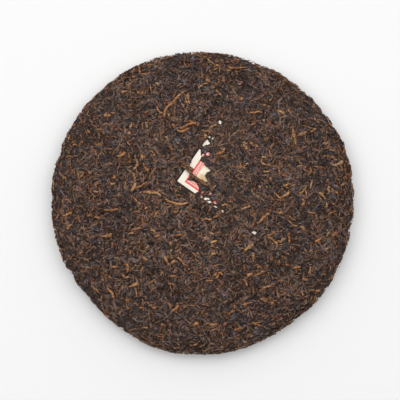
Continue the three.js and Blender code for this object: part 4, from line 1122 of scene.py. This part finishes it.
class TEA_OT_core(Operator):
    """Builds the core of pressed leaf dust under the leaves"""

    bl_idname = "tea_cake.build_core"
    bl_label = "Build Core"

    def execute(self, context):
        """The skin lowered by the core's depth, less random lumps. Over the ticket it stays above
        the sheet, and where the leaf over it is torn it is lowered to below the sheet."""
        settings = context.scene.tea_cake
        shape, ticket = settings.shape, settings.ticket
        surface = Surface(shape)
        random = np.random.default_rng(SEED + 1)
        rows, columns = 240, 400
        past_ticket = 54 * MM
        share = np.arange(1, rows) / rows
        along = np.interp(share, (0, 0.5, 1), (0, past_ticket, surface.length[-1]))
        around = 2 * np.pi * np.arange(columns) / columns
        length, turn = np.meshgrid(along, around, indexing="ij")
        lumps = random.normal(0, 1, length.shape)
        lumps = (lumps + np.roll(lumps, 1, 0) + np.roll(lumps, 1, 1) + np.roll(lumps, (1, 1), (0, 1))) / 2
        flat = surface.place(length, turn, 0)
        hole = over_openings(ticket, flat[..., 0], flat[..., 1], *CORE_SPREAD)
        hole &= length < surface.length[surface.rim]
        lift = -shape.core_depth + shape.core_bump * np.clip(lumps, -1.5, 1.5)
        s, t = on_ticket(ticket, flat[..., 0], flat[..., 1])
        margin, clearance, hollow = 2 * MM, 0.08 * MM, 0.9 * MM
        over = np.abs(s - ticket.long_edge / 2) < ticket.long_edge / 2 + margin
        over &= np.abs(t - ticket.short_edge / 2) < ticket.short_edge / 2 + margin
        over &= length < surface.length[surface.rim]
        lift = np.where(over, np.maximum(lift, ticket.crease - ticket.depth + clearance), lift)
        lift = np.where(hole, -ticket.depth - ticket.thickness - hollow, lift)
        grid = surface.place(length, turn, lift).reshape(-1, 3)
        ends = surface.place(np.array((0, surface.length[-1])), np.zeros(2), -shape.core_depth)
        points = np.concatenate((grid, ends))
        row = np.arange(rows - 2)[:, None] * columns
        column = np.arange(columns)[None, :]
        after = (column + 1) % columns
        quads = np.stack((row + column, row + columns + column, row + columns + after, row + after), -1)
        first, last = len(grid), len(grid) + 1
        low = (rows - 2) * columns
        fan = np.stack((0 * column[0] + first, column[0], after[0]), -1)
        end_fan = np.stack((0 * column[0] + last, low + after[0], low + column[0]), -1)
        mesh = build_mesh("core", points, quads.reshape(-1, 4), np.concatenate((fan, end_fan)))
        add_piece("pressed_core", mesh, core_material(shape), "cake")
        return {"FINISHED"}


class LayLeaves:
    """What the operators for the kinds of leaf share. kind names the settings and the piece."""

    kind = ""
    stations = 5
    sides = 3

    def place_leaves(self, surface, kind, random):
        """Random places, forms and middle lines for leaves of the kind."""
        sites = leaf_sites(surface, kind, random)
        forms = leaf_forms(kind, len(sites["x"]), random)
        if kind.bundle > 1:
            sites, forms = add_bundles(surface, kind, sites, forms, random)
        return sites, forms, leaf_lines(forms, self.stations)

    def kept(self, ticket, sites, points):
        """Leaves that leave the ticket's holes open, tried at their points and between their rings."""
        ends = points[:, : -self.sides], points[:, self.sides :]
        tried = np.concatenate((points, *(blend(ends, share) for share in (0.25, 0.5, 0.75))), axis=1)
        covers = over_openings(ticket, tried[..., 0], tried[..., 1], *LEAF_SPREAD).any(axis=1)
        return ~(covers & sites["on_face"])

    def execute(self, context):
        """Draws the leaves, keeps those that may stay and joins them in one mesh."""
        settings = context.scene.tea_cake
        kind = getattr(settings, self.kind)
        surface = Surface(settings.shape)
        random = np.random.default_rng(SEED + 10 + list(LEAF_KINDS).index(self.kind))
        sites, forms, lines = self.place_leaves(surface, kind, random)
        points, first, second = leaf_points(surface, kind, sites, forms, lines, self.sides, random)
        keep = self.kept(settings.ticket, sites, points)
        points, first, second = points[keep], first[keep], second[keep]
        count = len(points)
        quads, fans, quad_patch, fan_patch = leaf_faces(count, self.stations, self.sides)
        mesh = build_mesh(self.kind, points.reshape(-1, 3), quads, fans)
        for name in ("tone", "warmth"):
            add_attribute(mesh, name, "FLOAT", np.repeat(forms[name][keep], points.shape[1]))
        apart = np.repeat(np.arange(count) * STRANDS_APART, points.shape[1])
        grain = np.stack((first.ravel() * STRAND_STRETCH, second.ravel(), apart), -1)
        add_attribute(mesh, "grain", "FLOAT_VECTOR", grain)
        self.add_patches(mesh, count, quad_patch, fan_patch)
        add_piece(self.kind, mesh, leaf_material(self.kind, kind), "cake")
        return {"FINISHED"}

    def add_patches(self, mesh, count, quad_patch, fan_patch):
        """A map that gives every leaf a square patch of its own, in rows that fill the map."""
        across = math.ceil(math.sqrt(count))
        cell = np.stack(np.divmod(np.arange(count), across), -1)[:, None, None, :]
        margin = 0.1
        quads = cell + margin + (1 - 2 * margin) * quad_patch[None]
        fans = cell + margin + (1 - 2 * margin) * fan_patch[None]
        places = np.concatenate((quads.reshape(-1, 2), fans.reshape(-1, 2))) / across
        layer = mesh.uv_layers.new(name="OFBake")
        layer.uv.foreach_set("vector", places.astype(np.float32).ravel())


class TEA_OT_dark_leaves(LayLeaves, Operator):
    """Lays the dark rolled leaves, the bulk of the cake"""

    bl_idname = "tea_cake.lay_dark_leaves"
    bl_label = "Lay Dark Leaves"
    kind = "dark_leaves"


class TEA_OT_grey_leaves(LayLeaves, Operator):
    """Lays the dark leaves whose greyer colour is partly a painted sheen"""

    bl_idname = "tea_cake.lay_grey_leaves"
    bl_label = "Lay Grey Leaves"
    kind = "grey_leaves"


class TEA_OT_wiry_leaves(LayLeaves, Operator):
    """Lays the thin leaves that are rolled up like wire"""

    bl_idname = "tea_cake.lay_wiry_leaves"
    bl_label = "Lay Wiry Leaves"
    kind = "wiry_leaves"
    stations = 6


class TEA_OT_brown_leaves(LayLeaves, Operator):
    """Lays the lighter brown leaves"""

    bl_idname = "tea_cake.lay_brown_leaves"
    bl_label = "Lay Brown Leaves"
    kind = "brown_leaves"


class TEA_OT_leaf_flakes(LayLeaves, Operator):
    """Lays the broad flat bits of leaf"""

    bl_idname = "tea_cake.lay_leaf_flakes"
    bl_label = "Lay Leaf Flakes"
    kind = "leaf_flakes"
    stations = 4
    sides = 4


class TEA_OT_golden_buds(LayLeaves, Operator):
    """Lays the rust and gold buds"""

    bl_idname = "tea_cake.lay_golden_buds"
    bl_label = "Lay Golden Buds"
    kind = "golden_buds"


class TEA_OT_stalks(LayLeaves, Operator):
    """Lays the pale straight stalks"""

    bl_idname = "tea_cake.lay_stalks"
    bl_label = "Lay Stalks"
    kind = "stalks"
    stations = 7
    sides = 4


class TEA_OT_crumbs(LayLeaves, Operator):
    """Lays the broken bits between the leaves"""

    bl_idname = "tea_cake.lay_crumbs"
    bl_label = "Lay Crumbs"
    kind = "crumbs"
    stations = 3


class TEA_OT_shown_leaves(LayLeaves, Operator):
    """Lays the leaves that stand out in the photograph at their places"""

    bl_idname = "tea_cake.lay_shown_leaves"
    bl_label = "Lay Shown Leaves"
    kind = "shown_leaves"
    stations = 11
    sides = 5

    def place_leaves(self, surface, kind, random):
        """Middle lines through the leaves' pixels, with a little random form."""
        (x, y), length, lines = shown_lines(self.stations)
        count = len(x)
        tone, warmth, width = np.array([leaf[:3] for leaf in SHOWN_LEAVES]).T
        radius, turn = np.hypot(x, y), np.arctan2(y, x)
        sites = {
            "x": x, "y": y, "length": surface.length_at(radius, True), "turn": turn,
            "on_face": np.ones(count, bool), "angle": np.where(radius < FLAT_REACH, 0, -turn),
        }
        forms = leaf_forms(kind, count, random)
        forms["roll"] *= 0.3
        forms["twist"] *= 0.3
        forms["taper"] += 2
        forms.update(length=length, width=1.12 * width * MM, tone=tone, warmth=warmth)
        return sites, forms, lines

    def kept(self, ticket, sites, points):
        """All of them, since some bridge the ticket's largest hole."""
        return np.ones(len(points), bool)


class TEA_OT_ticket(Operator):
    """Lays the printed paper ticket in the face"""

    bl_idname = "tea_cake.lay_ticket"
    bl_label = "Lay Ticket"

    def execute(self, context):
        """A thin box on a grid of its two edges, at its depth under the face, with low waves. Its
        map holds the distances along the two edges in mm."""
        settings = context.scene.tea_cake
        ticket = settings.ticket
        surface = Surface(settings.shape)
        columns, rows = 84, 66
        s, t = np.meshgrid(
            np.linspace(0, ticket.long_edge, columns), np.linspace(0, ticket.short_edge, rows), indexing="ij"
        )
        c, sine = math.cos(ticket.turn), math.sin(ticket.turn)
        x = ticket.corner_x + s * c - t * sine
        y = ticket.corner_y + s * sine + t * c
        wave = np.sin(s / (3.1 * MM) + 1.2 * np.sin(t / (4.3 * MM))) * np.sin(t / (3.7 * MM) + 0.8)
        top = -ticket.depth + ticket.crease * wave
        length = surface.length_at(np.hypot(x, y), True)
        turn = np.arctan2(y, x)
        upper = surface.place(length, turn, top)
        lower = surface.place(length, turn, top - ticket.thickness)
        points = np.concatenate((upper.reshape(-1, 3), lower.reshape(-1, 3)))
        index = np.arange(columns * rows).reshape(columns, rows)
        under = index + columns * rows
        face = np.stack((index[:-1, :-1], index[1:, :-1], index[1:, 1:], index[:-1, 1:]), -1)
        back = np.stack((under[:-1, :-1], under[:-1, 1:], under[1:, 1:], under[1:, :-1]), -1)
        edge = np.concatenate((index[:-1, 0], index[-1, :-1], index[:0:-1, -1], index[0, :0:-1]))
        ahead = np.roll(edge, -1)
        hem = np.stack((edge, edge + columns * rows, ahead + columns * rows, ahead), -1)
        quads = np.concatenate((face.reshape(-1, 4), back.reshape(-1, 4), hem))
        mesh = build_mesh("ticket_sheet", points, quads, np.zeros((0, 3), int))
        flat = np.tile(np.stack((s, t), -1).reshape(-1, 2), (2, 1)) / MM
        layer = mesh.uv_layers.new(name="sheet")
        layer.uv.foreach_set("vector", flat[quads.ravel()].astype(np.float32).ravel())
        add_piece("ticket_sheet", mesh, paper_material(ticket), "ticket")
        return {"FINISHED"}


class TEA_OT_stage(Operator):
    """Sets up the floor, the lamps and the camera"""

    bl_idname = "tea_cake.set_stage"
    bl_label = "Set Stage"

    def execute(self, context):
        stage = context.scene.tea_cake.stage
        self.add_floor(context, stage)
        for name, side, power in (("left_lamp", -1, stage.left_power), ("right_lamp", 1, stage.right_power)):
            place = (side * stage.lamp_side, stage.lamp_back, stage.lamp_height)
            self.add_lamp(context, name, place, stage.lamp_width, power)
        world = bpy.data.worlds.new("studio")
        world.use_nodes = True
        background = world.node_tree.nodes["Background"]
        background.inputs["Color"].default_value = (1, 1, 1, 1)
        self.lean_sky(world.node_tree, background.inputs["Strength"], stage)
        context.scene.world = world
        context.scene.view_settings.view_transform = "Standard"
        self.add_camera(context, stage)
        return {"FINISHED"}

    def lean_sky(self, tree, strength, stage):
        """The sky's strength, times 1 plus its lean times the Y of the direction looked in."""
        direction = tree.nodes.new("ShaderNodeTexCoord").outputs["Generated"]
        parts = tree.nodes.new("ShaderNodeSeparateXYZ")
        leaning = tree.nodes.new("ShaderNodeMath")
        leaning.operation = "MULTIPLY_ADD"
        leaning.inputs[1].default_value = stage.sky * stage.sky_lean
        leaning.inputs[2].default_value = stage.sky
        tree.links.new(direction, parts.inputs[0])
        tree.links.new(parts.outputs["Y"], leaning.inputs[0])
        tree.links.new(leaning.outputs[0], strength)

    def add_floor(self, context, stage):
        """A square two metres wide at the level that the cake rests on."""
        mesh = bpy.data.meshes.new("floor")
        corners = [(-1, -1, 0), (1, -1, 0), (1, 1, 0), (-1, 1, 0)]
        mesh.from_pydata(corners, [], [(0, 1, 2, 3)])
        mesh.materials.append(floor_material(stage))
        floor = bpy.data.objects.new("floor", mesh)
        context.scene.collection.objects.link(floor)

    def add_lamp(self, context, name, place, width, power):
        """A square lamp that faces the cake."""
        data = bpy.data.lights.new(name, "AREA")
        data.size = width
        data.energy = power
        lamp = bpy.data.objects.new(name, data)
        lamp.location = place
        lamp.rotation_euler = (-Vector(place)).to_track_quat("-Z", "Y").to_euler()
        context.scene.collection.objects.link(lamp)

    def add_camera(self, context, stage):
        """Looks straight down, so high that a pixel at the height of the rim is the photograph's."""
        data = bpy.data.cameras.new("camera")
        data.lens = stage.lens
        camera = bpy.data.objects.new("camera", data)
        width = PHOTO_PIXELS * PIXEL
        x, y = photo_place(PHOTO_PIXELS / 2, PHOTO_PIXELS / 2)
        rim = context.scene.tea_cake.shape.rim_height
        camera.location = (x, y, rim + width * data.lens / data.sensor_width)
        context.scene.collection.objects.link(camera)
        context.scene.camera = camera


OPERATORS = (
    TEA_OT_stage, TEA_OT_core, TEA_OT_ticket, TEA_OT_leaf_flakes, TEA_OT_dark_leaves,
    TEA_OT_grey_leaves, TEA_OT_wiry_leaves, TEA_OT_brown_leaves, TEA_OT_golden_buds, TEA_OT_stalks,
    TEA_OT_crumbs, TEA_OT_shown_leaves,
)


class TEA_PT_cake(Panel):
    """The tea cake's steps, in the order in which they are run"""

    bl_label = "Tea Cake"
    bl_idname = "TEA_PT_cake"
    bl_space_type = "VIEW_3D"
    bl_region_type = "UI"
    bl_category = "Tea Cake"

    def draw(self, context):
        for step in OPERATORS:
            self.layout.operator(step.bl_idname)


CLASSES = (TeaCakeShape, TicketSizes, StageSettings, LeafKind, TeaCakeSettings, *OPERATORS, TEA_PT_cake)


def register():
    """Makes the classes and the scene's tea_cake settings known to Blender."""
    for item in CLASSES:
        bpy.utils.register_class(item)
    bpy.types.Scene.tea_cake = PointerProperty(type=TeaCakeSettings)


def unregister():
    """Takes them back, in the opposite order."""
    del bpy.types.Scene.tea_cake
    for item in reversed(CLASSES):
        bpy.utils.unregister_class(item)


def main():
    """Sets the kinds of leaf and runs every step."""
    register()
    settings = bpy.context.scene.tea_cake
    for name, values in LEAF_KINDS.items():
        for field, value in values.items():
            setattr(getattr(settings, name), field, value)
    for step in OPERATORS:
        group, name = step.bl_idname.split(".")
        getattr(getattr(bpy.ops, group), name)()


if __name__ == "__main__":
    main()
